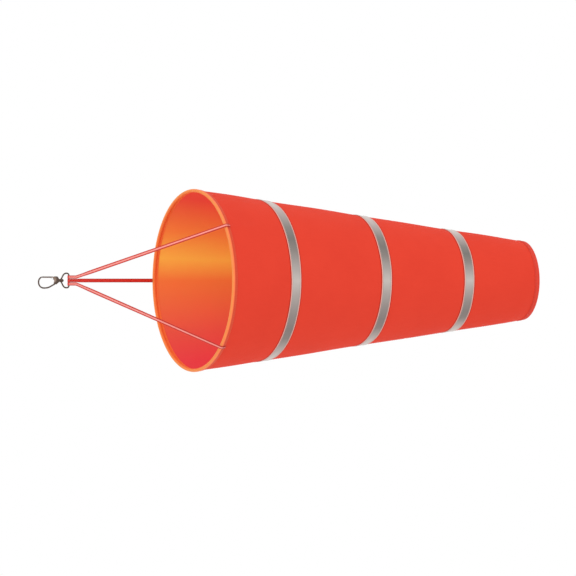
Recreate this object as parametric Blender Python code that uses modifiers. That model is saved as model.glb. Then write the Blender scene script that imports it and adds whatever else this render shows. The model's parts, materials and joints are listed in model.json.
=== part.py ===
"""Tapered cloth windsock on a three-strap harness, with a swivelling snap hook.

World frame: +X runs along the sleeve from the hook to the tail, +Z is up, and the
origin is the seat inside the hook's nose, where the mast's ring bears. Metres.
Angles round the sleeve are degrees from the near side (-Y) towards the top (+Z).
"""
import math

import bpy
import bmesh
from mathutils import Matrix, Vector

# ---------------------------------------------------------------- driving sizes
GAP = 0.0003  # air between pieces that touch
SIDES = 48  # flats round the sleeve and everything sewn to it
WELD = 0.000005  # points closer than this are one point
REACH = 0.01  # how far a cutter runs past what it cuts

# sleeve
SLEEVE_LENGTH = 0.800
MOUTH_RADIUS = 0.199
TAIL_RADIUS = 0.087
MOUTH_X = 0.3713  # hook seat to the mouth's plane
CLOTH = 0.0010
BAND_CENTRES = (0.166, 0.402, 0.617)  # from the mouth's plane
BAND_WIDTH = 0.025
BAND_THICKNESS = 0.0007
LAP_LENGTH = 0.006  # each section starts this far inside the one before
LAP_CLEARANCE = 0.0035  # radial room in a lap, for the sleeve to droop
SEAM_WIDTH = 0.008
SEAM_THICKNESS = 0.0007
SEAM_MARGIN = 0.030  # seam tape stops this far from a lap

# mouth hem
TAPE = 0.0010
HOOP_WIRE_RADIUS = 0.0015
HEM_BORE_RADIUS = 0.0027  # channel in the hem that holds the hoop
HEM_WIDTH = 0.0125
HEM_LAP = 0.0085  # where the inner leg of the tape meets the cloth
FERRULE_RADIUS = 0.0024
FERRULE_SPAN = 7.0  # degrees of hoop that the ferrule covers
TAIL_HEM_WIDTH = 0.012
TAIL_TAPE = 0.0007  # each leg of the tape over the tail's edge

# harness
STRAP_ANGLES = {"upper": 37.0, "lower": -47.0, "far": 180.0}
STRAP_SLOTS = {"upper": 1, "far": 0, "lower": -1}  # places along the eye's bar
STRAP_WIDTH = 0.0082
STRAP_LOOP_WIDTH = 0.0070
STRAP_THICKNESS = 0.0012
STRAP_SPACING = 0.0005  # air between two straps on the bar
STRAP_FOLD = 0.016  # length of the ply turned back round the bar
STRAP_LAND = 0.008  # length sewn down behind the rim
STRAP_SHOULDER = 0.007  # where the two plies meet
LOOP_OPENING = 55.0  # degrees each side of the way to the rim where a loop is open

# swivel eye
WIRE_RADIUS = 0.00175  # of the hook and of the eye
BAR_X = 0.0716
EYE_LEFT_X = 0.0530
BAR_END_ROOM = 0.0040  # from the outermost strap to the wire's centre at the bar's end
EYE_CROWN = 0.0016  # the eye is this much higher at its shoulders
EYE_SHOULDER = 0.0075  # from the boss to the shoulders
EYE_FOOT = 0.0030  # half the wire's straight run behind the boss
EYE_FOOT_BEND = 0.0060
EYE_BEND = 0.0090
BAR_BEND = 0.0043
BOSS_RADIUS = 0.0038
BOSS_PROUD = 0.00035  # the boss stands out past the wire at each end
RIVET_RADIUS = 0.0018
RIVET_CLEARANCE = 0.0003
RIVET_HEAD_RADIUS = 0.0031
RIVET_HEAD_LENGTH = 0.0024
RIVET_GRIP = 0.0075  # length of shank inside the hook's neck
DOME_ANGLES = (70.0, 45.0, 20.0, 0.0)  # corners of the rivet head's rounded edge
WASHER_RADIUS = 0.0034
WASHER_THICKNESS = 0.0006

# hook
LOOP_HEIGHT = 0.0236  # between the centres of the two limbs
LOOP_TOP = 0.0073  # height of the gate's limb
NOSE_BEND = 0.0098  # bend radii of the hook's wire, from the tip round
CHIN_BEND = 0.0122
BELLY_BEND = 0.0300
BELLY_X = 0.0210  # where the lower limb turns up to the head
ROOT_X = 0.0055  # where the wire's centre ends inside the head, from the pin
ROOT_Z = -0.0040
HEAD_FRONT = 0.0036  # the head's plate in front of the pin
HEAD_RISE = 0.0034  # and above and below it
HEAD_CREST = 0.0046  # where its top turns down to the neck
HEEL = (0.0020, -0.0086)  # lowest corner, behind the pin in X, from the axis in Z
TOE = (-0.0030, -0.0076)
SILL = (-0.0014, -0.0014)  # corner under the gate's slot, from the pin and the slot's floor
HEAD_BENDS = (0.0025, 0.0025, 0.0012, 0.0012, 0.0012, 0.0010, 0.0020, 0.0010)
HEAD_EDGE = 0.0007  # bevel round the plate
HEAD_THICKNESS = 0.0064
SLOT_ROOM = 0.0011  # from the gate's eye to the slot's floor
SLOT_DEPTH = 0.0100  # how far the slot runs forward of the pin
NECK_RADIUS = 0.0033
NECK_START = 0.0040  # the round neck starts this far behind the pin
NECK_TAPER = 0.0030  # the plate stops this far before the neck's end
NECK_STEP = 0.0004  # and is this much lower than the neck
PIVOT_X = 0.0385
PIVOT_Z = 0.0056
PIN_RADIUS = 0.0009
PIN_PROUD = 0.0004
PIN_SIDES = 12
GATE_RADIUS = 0.0016
GATE_THICKNESS = 0.0026
GATE_EYE_RADIUS = 0.0029
GATE_KNEE = 0.0060  # the bar turns down to its eye this far before the pin
GATE_ROOT = (-0.0010, 0.0006)  # where the bar's centre ends, from the pin
GATE_LAP_X = 0.0045  # the gate's end under the nose's tip
NOSE_TIP_X = 0.0093
NOSE_LAP_ROOM = 0.0020  # the nose's cut runs this far past its tip
SPRING_WIDTH = 0.0020
SPRING_THICKNESS = 0.0004
SPRING_HEEL = 0.0026  # from the pin: behind it, then the two bends in front of it
SPRING_KNEE = 0.0025
SPRING_TIP = 0.0115

# ---------------------------------------------------------------- derived sizes
SLOPE = (MOUTH_RADIUS - TAIL_RADIUS) / SLEEVE_LENGTH
TAIL_X = MOUTH_X + SLEEVE_LENGTH
HOOP_RADIUS = MOUTH_RADIUS - TAPE - HEM_BORE_RADIUS
HOOP_X = MOUTH_X + TAPE + HEM_BORE_RADIUS
SLEEVE_FRONT_X = HOOP_X + HEM_BORE_RADIUS + GAP
FLAT = math.cos(math.pi / SIDES)  # a flat's middle, as a share of the radius
STRAP_PITCH = STRAP_LOOP_WIDTH + STRAP_SPACING
LOOP_INNER = WIRE_RADIUS + GAP
EYE_HEIGHT = 2 * STRAP_PITCH + STRAP_LOOP_WIDTH + 2 * BAR_END_ROOM
BOSS_X0 = EYE_LEFT_X - WIRE_RADIUS - BOSS_PROUD
BOSS_X1 = EYE_LEFT_X + WIRE_RADIUS + BOSS_PROUD
RIVET_BORE = RIVET_RADIUS + RIVET_CLEARANCE
NECK_END_X = BOSS_X0 - GAP
SLOT_FLOOR = PIVOT_Z - GATE_EYE_RADIUS - SLOT_ROOM


def envelope(x):
    """Radius of the sleeve's outline, over its tapes, at a place along X."""
    return MOUTH_RADIUS - SLOPE * (x - MOUTH_X)


def cloth_radius(x):
    """Outer radius of the cloth where a tape of full thickness lies over it."""
    return envelope(x) - TAPE - GAP


# ---------------------------------------------------------------- scene helpers
def clear_scene():
    for obj in list(bpy.data.objects):
        bpy.data.objects.remove(obj, do_unlink=True)


def new_collection(name):
    made = bpy.data.collections.new(name)
    bpy.context.scene.collection.children.link(made)
    return made


def finish(name, colour, roughness, metallic):
    mat = bpy.data.materials.new(name)
    mat.use_nodes = True
    shader = mat.node_tree.nodes["Principled BSDF"]
    shader.inputs["Base Color"].default_value = (*colour, 1.0)
    shader.inputs["Roughness"].default_value = roughness
    shader.inputs["Metallic"].default_value = metallic
    return mat


def own(obj, collection):
    """Keep an object in one collection only."""
    for other in list(obj.users_collection):
        other.objects.unlink(obj)
    collection.objects.link(obj)
    return obj


def part(obj, name, mat):
    """Turn an object into a named piece with its own material."""
    obj.name = name
    obj.data.name = name
    obj.data.materials.clear()
    obj.data.materials.append(mat)
    return own(obj, PARTS)


def cutter(obj, name):
    """Turn an object into a hidden tool for a Boolean."""
    obj.name = name
    obj.hide_render = True
    obj.display_type = "WIRE"
    return own(obj, CUTTERS)


def boolean(obj, tool, operation):
    step = obj.modifiers.new(f"{operation.lower()} {tool.name}", "BOOLEAN")
    step.operation = operation
    step.object = tool
    step.solver = "EXACT"


def mesh_object(name, points, edges, faces=()):
    mesh = bpy.data.meshes.new(name)
    mesh.from_pydata(points, edges, faces)
    obj = bpy.data.objects.new(name, mesh)
    bpy.context.scene.collection.objects.link(obj)
    return obj


def turned(name, profile, closed=True, sides=SIDES):
    """Turn a profile of (radius, x) points round the X axis.

    The profile's outer side runs from high x to low x, so that its faces point out.
    """
    points = [(radius, 0.0, x) for radius, x in profile]
    edges = [(i, i + 1) for i in range(len(points) - 1)]
    if closed:
        edges.append((len(points) - 1, 0))
    obj = mesh_object(name, points, edges)
    obj.rotation_euler = (0.0, math.pi / 2, 0.0)
    screw = obj.modifiers.new("turn", "SCREW")
    screw.axis = "Z"
    screw.angle = 2 * math.pi
    screw.steps = screw.render_steps = sides
    screw.use_merge_vertices = True
    screw.merge_threshold = WELD
    return obj


def arc(centre, radius, start, end, steps):
    """Points round an arc, with angles in degrees."""
    turn = [math.radians(start + (end - start) * i / steps) for i in range(steps + 1)]
    return [(centre[0] + radius * math.cos(a), centre[1] + radius * math.sin(a)) for a in turn]


def tangent_angle(centre, radius, point, side):
    """Angle in degrees at which a line from an outside point touches a circle.

    The line touches on the side of larger angles with side 1, or smaller with -1.
    """
    du, dv = point[0] - centre[0], point[1] - centre[1]
    swing = math.acos(radius / math.hypot(du, dv))
    return math.degrees(math.atan2(dv, du) + side * swing)


def filleted(corners, radii, steps):
    """A path through corners, each rounded to its radius (0 keeps it sharp)."""
    path = []
    count = len(corners)
    for i, radius in enumerate(radii):
        here = Vector(corners[i])
        if radius == 0.0:
            path.append(here)
            continue
        back = (Vector(corners[i - 1]) - here).normalized()
        ahead = (Vector(corners[(i + 1) % count]) - here).normalized()
        half = back.angle(ahead) / 2
        centre = here + (back + ahead).normalized() * radius / math.sin(half)
        first = here + back * radius / math.tan(half) - centre
        last = here + ahead * radius / math.tan(half) - centre
        for k in range(steps + 1):
            path.append(centre + first.slerp(last, k / steps).normalized() * radius)
    return path


def wire_mesh(name, path, radius, cyclic=False, resolution=2):
    """A round wire along 3D points, as a closed mesh."""
    curve = bpy.data.curves.new(name, "CURVE")
    curve.dimensions = "3D"
    curve.bevel_depth = radius
    curve.bevel_resolution = resolution
    curve.use_fill_caps = True
    spline = curve.splines.new("POLY")
    spline.points.add(len(path) - 1)
    for point, place in zip(spline.points, path):
        point.co = (*place, 1.0)
    spline.use_cyclic_u = cyclic
    guide = bpy.data.objects.new(name, curve)
    bpy.context.scene.collection.objects.link(guide)
    bpy.context.view_layer.update()
    depsgraph = bpy.context.evaluated_depsgraph_get()
    mesh = bpy.data.meshes.new_from_object(guide.evaluated_get(depsgraph))
    made = bpy.data.objects.new(name, mesh)
    made.matrix_world = guide.matrix_world
    bpy.context.scene.collection.objects.link(made)
    bpy.data.objects.remove(guide, do_unlink=True)
    clean = bmesh.new()
    clean.from_mesh(mesh)
    bmesh.ops.remove_doubles(clean, verts=clean.verts, dist=WELD)
    bmesh.ops.recalc_face_normals(clean, faces=clean.faces)
    clean.to_mesh(mesh)
    clean.free()
    mesh.shade_smooth()
    return made


def plate(name, outline, thickness, bevel=0.0):
    """A flat plate in the XZ plane, centred on Y, from an outline of (x, z)."""
    curve = bpy.data.curves.new(name, "CURVE")
    curve.dimensions = "2D"
    curve.fill_mode = "BOTH"
    curve.extrude = thickness / 2
    spline = curve.splines.new("POLY")
    spline.points.add(len(outline) - 1)
    for point, (x, z) in zip(spline.points, outline):
        point.co = (x, z, 0.0, 1.0)
    spline.use_cyclic_u = True
    guide = bpy.data.objects.new(name, curve)
    bpy.context.scene.collection.objects.link(guide)
    bpy.context.view_layer.update()
    depsgraph = bpy.context.evaluated_depsgraph_get()
    mesh = bpy.data.meshes.new_from_object(guide.evaluated_get(depsgraph))
    made = bpy.data.objects.new(name, mesh)
    bpy.context.scene.collection.objects.link(made)
    bpy.data.objects.remove(guide, do_unlink=True)
    clean = bmesh.new()
    clean.from_mesh(mesh)
    bmesh.ops.remove_doubles(clean, verts=clean.verts, dist=WELD)
    bmesh.ops.transform(clean, matrix=Matrix.Rotation(math.pi / 2, 4, "X"), verts=clean.verts)
    bmesh.ops.recalc_face_normals(clean, faces=clean.faces)
    if bevel:
        rims = [e for e in clean.edges if abs(e.verts[0].co.y - e.verts[1].co.y) < WELD]
        rims = [e for e in rims if len({round(f.normal.y) for f in e.link_faces}) > 1]
        bmesh.ops.bevel(clean, geom=rims, offset=bevel, segments=1, affect="EDGES")
    clean.to_mesh(mesh)
    clean.free()
    return made


def rod(name, start, end, radius, sides=16):
    """A plain cylinder between two points."""
    start, end = Vector(start), Vector(end)
    bm = bmesh.new()
    bmesh.ops.create_cone(
        bm, cap_ends=True, segments=sides, radius1=radius, radius2=radius, depth=(end - start).length
    )
    turn = (end - start).to_track_quat("Z", "Y").to_matrix().to_4x4()
    bmesh.ops.transform(bm, matrix=Matrix.Translation((start + end) / 2) @ turn, verts=bm.verts)
    obj = mesh_object(name, [], [])
    bm.to_mesh(obj.data)
    bm.free()
    obj.data.shade_smooth()
    obj.data.set_sharp_from_angle(angle=math.radians(40))
    return obj


def block(name, low, high):
    """A box between two corners."""
    low, high = Vector(low), Vector(high)
    bm = bmesh.new()
    bmesh.ops.create_cube(bm, size=1.0)
    size = Matrix.Diagonal((*(high - low), 1.0))
    bmesh.ops.transform(bm, matrix=Matrix.Translation((low + high) / 2) @ size, verts=bm.verts)
    obj = mesh_object(name, [], [])
    bm.to_mesh(obj.data)
    bm.free()
    return obj


# ---------------------------------------------------------------- sleeve
def section_ends():
    """(front x, rear x) of each sleeve section, with each front inside a lap."""
    rears = [MOUTH_X + centre + BAND_WIDTH / 2 for centre in BAND_CENTRES]
    fronts = [rear - LAP_LENGTH for rear in rears]
    return list(zip([SLEEVE_FRONT_X, *fronts], [*rears, TAIL_X - TAPE - GAP]))


def section_radii():
    """(front, rear) outer radius of each section; each front nests in the one before."""
    radii = []
    for i, (front, rear) in enumerate(section_ends()):
        start = cloth_radius(front)
        if i:
            start = along(radii[-1], section_ends()[i - 1], front) - CLOTH - LAP_CLEARANCE
        radii.append((start, cloth_radius(rear)))
    return radii


def along(radii, ends, x):
    """Radius at x on the straight line between a section's two ends."""
    share = (x - ends[0]) / (ends[1] - ends[0])
    return radii[0] + (radii[1] - radii[0]) * share


def cone_shell(name, x0, x1, r0, r1, wall):
    """A thin cone wall with its outer radius r0 at x0 and r1 at x1."""
    return turned(name, [(r1, x1), (r0, x0), (r0 - wall, x0), (r1 - wall, x1)])


def make_sections():
    for i, (ends, radii) in enumerate(zip(section_ends(), section_radii()), start=1):
        shell = cone_shell(f"sleeve_section_{i}", *ends, *radii, CLOTH)
        part(shell, f"sleeve_section_{i}", CLOTH_RED)


def make_bands():
    """Reflective tape round the rear of each section but the last."""
    for i in range(len(BAND_CENTRES)):
        ends, radii = section_ends()[i], section_radii()[i]
        x1 = ends[1]
        x0 = x1 - BAND_WIDTH
        lift = GAP + BAND_THICKNESS
        r0 = along(radii, ends, x0) + lift
        r1 = along(radii, ends, x1) + lift
        name = f"reflective_band_{i + 1}"
        part(cone_shell(name, x0, x1, r0, r1, BAND_THICKNESS), name, BAND_GREY)


def make_seams():
    """Tape inside the lengthwise seam, on the flat next to the bottom of the sleeve."""
    angle = math.radians(-90.0 - 180.0 / SIDES)
    outward = Vector((0.0, -math.cos(angle), math.sin(angle)))
    sideways = Vector((0.0, math.sin(angle), math.cos(angle)))
    for i, (ends, radii) in enumerate(zip(section_ends(), section_radii()), start=1):
        x0, x1 = ends[0] + SEAM_MARGIN, ends[1] - SEAM_MARGIN
        tape = block(f"seam_tape_{i}", (-1.0, -1.0, -1.0), (1.0, 1.0, 1.0))
        for vert in tape.data.vertices:
            end, side, depth = vert.co
            x = x1 if end > 0 else x0
            reach = (along(radii, ends, x) - CLOTH) * FLAT - GAP
            reach -= SEAM_THICKNESS if depth > 0 else 0.0
            vert.co = Vector((x, 0.0, 0.0)) + outward * reach - sideways * side * SEAM_WIDTH / 2
        part(tape, f"seam_tape_{i}", CLOTH_RED)


def make_mouth_hem():
    """Bias tape folded over the hoop, with both legs sewn down on the cloth."""
    rear = MOUTH_X + HEM_WIDTH
    lap = MOUTH_X + HEM_LAP
    hoop = (HOOP_RADIUS, HOOP_X)
    under = CLOTH + GAP  # from the cloth's outer face to the inner leg
    faces = []
    for lift, radius in ((0.0, HEM_BORE_RADIUS + TAPE), (TAPE, HEM_BORE_RADIUS)):
        outer_end = (envelope(rear) - lift, rear)
        inner_end = (cloth_radius(rear) - under - TAPE + lift, rear)
        inner_lap = (cloth_radius(lap) - under - TAPE + lift, lap)
        first = tangent_angle(hoop, radius, outer_end, -1)
        last = tangent_angle(hoop, radius, inner_lap, 1) - 360.0
        faces.append([outer_end, *arc(hoop, radius, first, last, 11), inner_lap, inner_end])
    outside, inside = faces
    part(turned("mouth_binding", outside + inside[::-1]), "mouth_binding", BINDING_ORANGE)


def make_tail_hem():
    """Tape folded over the tail's raw edge."""
    front = TAIL_X - TAIL_HEM_WIDTH
    web = TAIL_X - TAPE
    ends, radii = section_ends()[-1], section_radii()[-1]
    face = {x: along(radii, ends, x) + GAP for x in (front, web)}
    back = {x: along(radii, ends, x) - CLOTH - GAP for x in (front, web)}
    profile = [
        (face[web], TAIL_X),
        (face[web] + TAIL_TAPE, web),
        (face[front] + TAIL_TAPE, front),
        (face[front], front),
        (face[web], web),
        (back[web], web),
        (back[front], front),
        (back[front] - TAIL_TAPE, front),
        (back[web] - TAIL_TAPE, web),
        (back[web], TAIL_X),
    ]
    part(turned("tail_binding", profile), "tail_binding", CLOTH_RED)


def hoop_point(angle):
    """A point on the hoop's centre line."""
    turn = math.radians(angle)
    return (HOOP_X, -HOOP_RADIUS * math.cos(turn), HOOP_RADIUS * math.sin(turn))


def make_hoop():
    """Sprung wire hoop, its ends joined by a ferrule at the bottom."""
    ring = [hoop_point(-90.0 + 360.0 * i / SIDES) for i in range(SIDES)]
    hoop = wire_mesh("mouth_hoop", ring, HOOP_WIRE_RADIUS, cyclic=True)
    part(hoop, "mouth_hoop", SPRING_STEEL)
    steps = 2 * max(1, round(FERRULE_SPAN * SIDES / 720))
    span = [-90.0 + 360.0 * (i - steps / 2) / SIDES for i in range(steps + 1)]
    inner = [a for a in span if abs(a + 90.0) < FERRULE_SPAN / 2]
    path = [chord_point(-90.0 - FERRULE_SPAN / 2)]
    path += [hoop_point(a) for a in inner]
    path += [chord_point(-90.0 + FERRULE_SPAN / 2)]
    ferrule = wire_mesh("hoop_ferrule", path, FERRULE_RADIUS)
    bore = wire_mesh("ferrule_bore", ring, HOOP_WIRE_RADIUS + GAP, cyclic=True)
    boolean(ferrule, cutter(bore, "ferrule_bore"), "DIFFERENCE")
    part(ferrule, "hoop_ferrule", SPRING_STEEL)


def chord_point(angle):
    """A point on the many-sided hoop between two of its corners."""
    step = 360.0 / SIDES
    low = math.floor((angle + 90.0) / step) * step - 90.0
    share = (angle - low) / step
    return Vector(hoop_point(low)).lerp(Vector(hoop_point(low + step)), share)


# ---------------------------------------------------------------- harness
def strap_stations(angle, slot):
    """Centre points and width directions along one strap, from ply end to rim."""
    turn = math.radians(angle)
    radial = Vector((0.0, -math.cos(turn), math.sin(turn)))
    around = Vector((0.0, math.sin(turn), math.cos(turn)))
    if around.z < 0:
        around.negate()
    up = Vector((0.0, 0.0, 1.0))
    bar = Vector((BAR_X, 0.0, slot * STRAP_PITCH))
    offset = HEM_BORE_RADIUS + TAPE + GAP + STRAP_THICKNESS / 2
    aim = Vector((HOOP_X, 0.0, 0.0)) + radial * (HOOP_RADIUS + offset)
    along_strap = Vector((aim.x - bar.x, aim.y, 0.0)).normalized()
    side = up.cross(along_strap)
    if side.dot(radial) < 0:
        side.negate()  # the ply that runs to the rim is the outer one of the two
    ply = (STRAP_THICKNESS + GAP) / 2
    loop = LOOP_INNER + STRAP_THICKNESS / 2
    flat = [(STRAP_FOLD, -ply), (STRAP_SHOULDER, -ply)]
    flat += arc((0.0, 0.0), loop, -LOOP_OPENING, LOOP_OPENING - 360.0, 10)
    flat += [(STRAP_SHOULDER, ply), (STRAP_FOLD, ply)]
    centres = [bar + along_strap * a + side * b for a, b in flat]
    start = centres[-1]
    rise = math.atan2(aim.dot(radial) - start.dot(radial), aim.x - start.x)
    fall = math.atan(SLOPE)
    bends = 4
    rim = []
    for k in range(bends + 1):
        tilt = math.pi / 2 + rise * (1 - k / bends) - fall * k / bends
        rim.append(
            Vector((HOOP_X + offset * math.cos(tilt), 0.0, 0.0))
            + radial * (HOOP_RADIUS + offset * math.sin(tilt))
        )
    down = Vector((1.0, 0.0, 0.0)) - radial * SLOPE
    rim.append(rim[-1] + down.normalized() * STRAP_LAND)
    steps = 10
    run = [start.lerp(rim[0], k / steps) for k in range(1, steps)]
    widths = [up] * len(centres)
    widths += [up.lerp(around, k / steps).normalized() for k in range(1, steps)]
    widths += [around] * len(rim)
    return centres + run + rim, widths, len(centres)


def make_strap(name, angle, slot):
    """Flat webbing looped round the eye's bar and sewn over the rim."""
    centres, widths, loop_count = strap_stations(angle, slot)
    last = len(centres) - 1
    points = []
    for i, (centre, width) in enumerate(zip(centres, widths)):
        ahead = (centres[min(i + 1, last)] - centres[max(i - 1, 0)]).normalized()
        across = (width - ahead * width.dot(ahead)).normalized()
        size = STRAP_LOOP_WIDTH if i < loop_count else STRAP_WIDTH
        points += [centre - across * size / 2, centre + across * size / 2]
    faces = [(2 * i, 2 * i + 1, 2 * i + 3, 2 * i + 2) for i in range(last)]
    strap = mesh_object(name, points, [], faces)
    thick = strap.modifiers.new("webbing", "SOLIDIFY")
    thick.thickness = STRAP_THICKNESS
    thick.offset = 0.0
    thick.use_even_offset = True
    part(strap, name, STRAP_RED)


def make_harness():
    for side, angle in STRAP_ANGLES.items():
        make_strap(f"harness_strap_{side}", angle, STRAP_SLOTS[side])


# ---------------------------------------------------------------- swivel eye
def make_eye():
    """D-shaped wire eye with a bored boss, and a straight bar for the straps."""
    half = EYE_HEIGHT / 2
    shoulder_x = EYE_LEFT_X + EYE_SHOULDER
    corners = [
        (EYE_LEFT_X, -EYE_FOOT),
        (EYE_LEFT_X, EYE_FOOT),
        (shoulder_x, half + EYE_CROWN),
        (BAR_X, half),
        (BAR_X, -half),
        (shoulder_x, -half - EYE_CROWN),
    ]
    radii = [EYE_FOOT_BEND, EYE_FOOT_BEND, EYE_BEND, BAR_BEND, BAR_BEND, EYE_BEND]
    outline = filleted(corners, radii, steps=5)
    path = [(p.x, 0.0, p.y) for p in outline]
    ring = wire_mesh("swivel_eye", path, WIRE_RADIUS, cyclic=True)
    boss = rod("eye_boss", (BOSS_X0, 0, 0), (BOSS_X1, 0, 0), BOSS_RADIUS)
    boolean(ring, cutter(boss, "eye_boss"), "UNION")
    hole = rod("eye_hole", (BOSS_X0 - REACH, 0, 0), (BOSS_X1 + REACH, 0, 0), RIVET_BORE)
    boolean(ring, cutter(hole, "eye_hole"), "DIFFERENCE")
    part(ring, "swivel_eye", BRONZE)


def make_rivet():
    """Rivet that the eye turns on: shank in the neck, head inside the eye."""
    neck_depth = NECK_END_X - RIVET_GRIP
    head_x = BOSS_X1 + GAP + WASHER_THICKNESS + GAP
    profile = [(0.0, head_x + RIVET_HEAD_LENGTH)]
    for turn in map(math.radians, DOME_ANGLES):
        profile.append((RIVET_HEAD_RADIUS * math.cos(turn), head_x + RIVET_HEAD_LENGTH * math.sin(turn)))
    profile += [(RIVET_RADIUS, head_x), (RIVET_RADIUS, neck_depth), (0.0, neck_depth)]
    part(turned("swivel_rivet", profile, closed=False, sides=16), "swivel_rivet", BRONZE)
    washer_x = BOSS_X1 + GAP
    ring = [
        (WASHER_RADIUS, washer_x + WASHER_THICKNESS),
        (WASHER_RADIUS, washer_x),
        (RIVET_BORE, washer_x),
        (RIVET_BORE, washer_x + WASHER_THICKNESS),
    ]
    part(turned("swivel_washer", ring, sides=24), "swivel_washer", BRONZE)


# ---------------------------------------------------------------- snap hook
def pin_hole(name):
    """A cutter for the hole that the gate's pin runs in."""
    near, far = (PIVOT_X, -REACH, PIVOT_Z), (PIVOT_X, REACH, PIVOT_Z)
    return cutter(rod(name, near, far, PIN_RADIUS + GAP, PIN_SIDES), name)


def make_hook():
    """Bent wire loop, solid head with a slot for the gate, and a bored neck."""
    bottom = LOOP_TOP - LOOP_HEIGHT
    corners = [
        (NOSE_TIP_X, LOOP_TOP),
        (-WIRE_RADIUS, LOOP_TOP),
        (-WIRE_RADIUS, bottom),
        (BELLY_X, bottom),
        (PIVOT_X + ROOT_X, ROOT_Z),
    ]
    bend = filleted(corners, [0.0, NOSE_BEND, CHIN_BEND, BELLY_BEND, 0.0], steps=7)
    wire = wire_mesh("hook_wire", [(p.x, 0.0, p.y) for p in bend], WIRE_RADIUS)
    plate_end = NECK_END_X - NECK_TAPER
    outline = filleted(
        [
            (PIVOT_X - HEAD_FRONT, PIVOT_Z + HEAD_RISE),
            (PIVOT_X + HEAD_CREST, PIVOT_Z + HEAD_RISE),
            (plate_end, NECK_RADIUS - NECK_STEP),
            (plate_end, NECK_STEP - NECK_RADIUS),
            (PIVOT_X + HEEL[0], HEEL[1]),
            (PIVOT_X + TOE[0], TOE[1]),
            (PIVOT_X + SILL[0], SLOT_FLOOR + SILL[1]),
            (PIVOT_X - HEAD_FRONT, PIVOT_Z - HEAD_RISE),
        ],
        HEAD_BENDS,
        steps=3,
    )
    head = plate("hook_body", outline, HEAD_THICKNESS, bevel=HEAD_EDGE)
    neck = rod("neck", (PIVOT_X + NECK_START, 0, 0), (NECK_END_X, 0, 0), NECK_RADIUS)
    boolean(head, cutter(wire, "hook_wire"), "UNION")
    boolean(head, cutter(neck, "neck"), "UNION")
    room = GATE_THICKNESS / 2 + GAP
    slot = block(
        "gate_slot",
        (PIVOT_X - SLOT_DEPTH, -room, SLOT_FLOOR),
        (PIVOT_X + GATE_EYE_RADIUS + GAP, room, PIVOT_Z + REACH),
    )
    boolean(head, cutter(slot, "gate_slot"), "DIFFERENCE")
    boolean(head, pin_hole("hook_pin_hole"), "DIFFERENCE")
    depth = NECK_END_X - RIVET_GRIP - GAP
    bore = rod("rivet_bore", (depth, 0, 0), (NECK_END_X + REACH, 0, 0), RIVET_BORE)
    boolean(head, cutter(bore, "rivet_bore"), "DIFFERENCE")
    lap = block(
        "nose_lap",
        (GATE_LAP_X - GAP, -REACH, LOOP_TOP - 2 * WIRE_RADIUS),
        (NOSE_TIP_X + NOSE_LAP_ROOM, REACH, LOOP_TOP + GAP / 2),
    )
    boolean(head, cutter(lap, "nose_lap"), "DIFFERENCE")
    part(head, "hook_body", BRONZE)


def make_gate():
    """Sprung gate: a bar that laps under the nose, on a flat eye round the pin."""
    half = GATE_THICKNESS / 2
    near, far = (PIVOT_X, -half, PIVOT_Z), (PIVOT_X, half, PIVOT_Z)
    eye = rod("gate", near, far, GATE_EYE_RADIUS, 20)
    bar = wire_mesh(
        "gate_bar",
        [
            (GATE_LAP_X, 0, LOOP_TOP),
            (PIVOT_X - GATE_KNEE, 0, LOOP_TOP),
            (PIVOT_X + GATE_ROOT[0], 0, PIVOT_Z + GATE_ROOT[1]),
        ],
        GATE_RADIUS,
    )
    boolean(eye, cutter(bar, "gate_bar"), "UNION")
    for name, inner, outer in (("near", -half, -REACH), ("far", half, REACH)):
        cheek = block(
            f"gate_cheek_{name}",
            (PIVOT_X - GATE_KNEE, min(inner, outer), PIVOT_Z - REACH),
            (PIVOT_X + GATE_KNEE, max(inner, outer), PIVOT_Z + REACH),
        )
        boolean(eye, cutter(cheek, f"gate_cheek_{name}"), "DIFFERENCE")
    boolean(eye, pin_hole("gate_pin_hole"), "DIFFERENCE")
    lap = block(
        "gate_lap",
        (GATE_LAP_X - GATE_RADIUS, -REACH, LOOP_TOP - GAP / 2),
        (NOSE_TIP_X + GAP, REACH, LOOP_TOP + 2 * GATE_RADIUS),
    )
    boolean(eye, cutter(lap, "gate_lap"), "DIFFERENCE")
    part(eye, "gate", GATE_BROWN)


def make_gate_pin():
    end = HEAD_THICKNESS / 2 + PIN_PROUD
    pin = rod("gate_pin", (PIVOT_X, -end, PIVOT_Z), (PIVOT_X, end, PIVOT_Z), PIN_RADIUS, PIN_SIDES)
    part(pin, "gate_pin", BRONZE)


def make_gate_spring():
    """Leaf in the slot's floor that bears on the underside of the gate."""
    floor = SLOT_FLOOR + GAP + SPRING_THICKNESS / 2
    top = LOOP_TOP - GATE_RADIUS - GAP - SPRING_THICKNESS / 2
    knee, tip = PIVOT_X - SPRING_KNEE, PIVOT_X - SPRING_TIP
    path = [(PIVOT_X + SPRING_HEEL, floor), (knee, floor)]
    steps = 4
    for share in (k / steps for k in range(1, steps + 1)):
        ease = 3 * share**2 - 2 * share**3
        path.append((knee + (tip - knee) * share, floor + (top - floor) * ease))
    points = [(x, y * SPRING_WIDTH / 2, z) for x, z in path for y in (-1, 1)]
    faces = [(2 * i, 2 * i + 1, 2 * i + 3, 2 * i + 2) for i in range(len(path) - 1)]
    leaf = mesh_object("gate_spring", points, [], faces)
    thick = leaf.modifiers.new("leaf", "SOLIDIFY")
    thick.thickness = SPRING_THICKNESS
    thick.offset = 0.0
    thick.use_even_offset = True
    part(leaf, "gate_spring", SPRING_STEEL)


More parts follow.
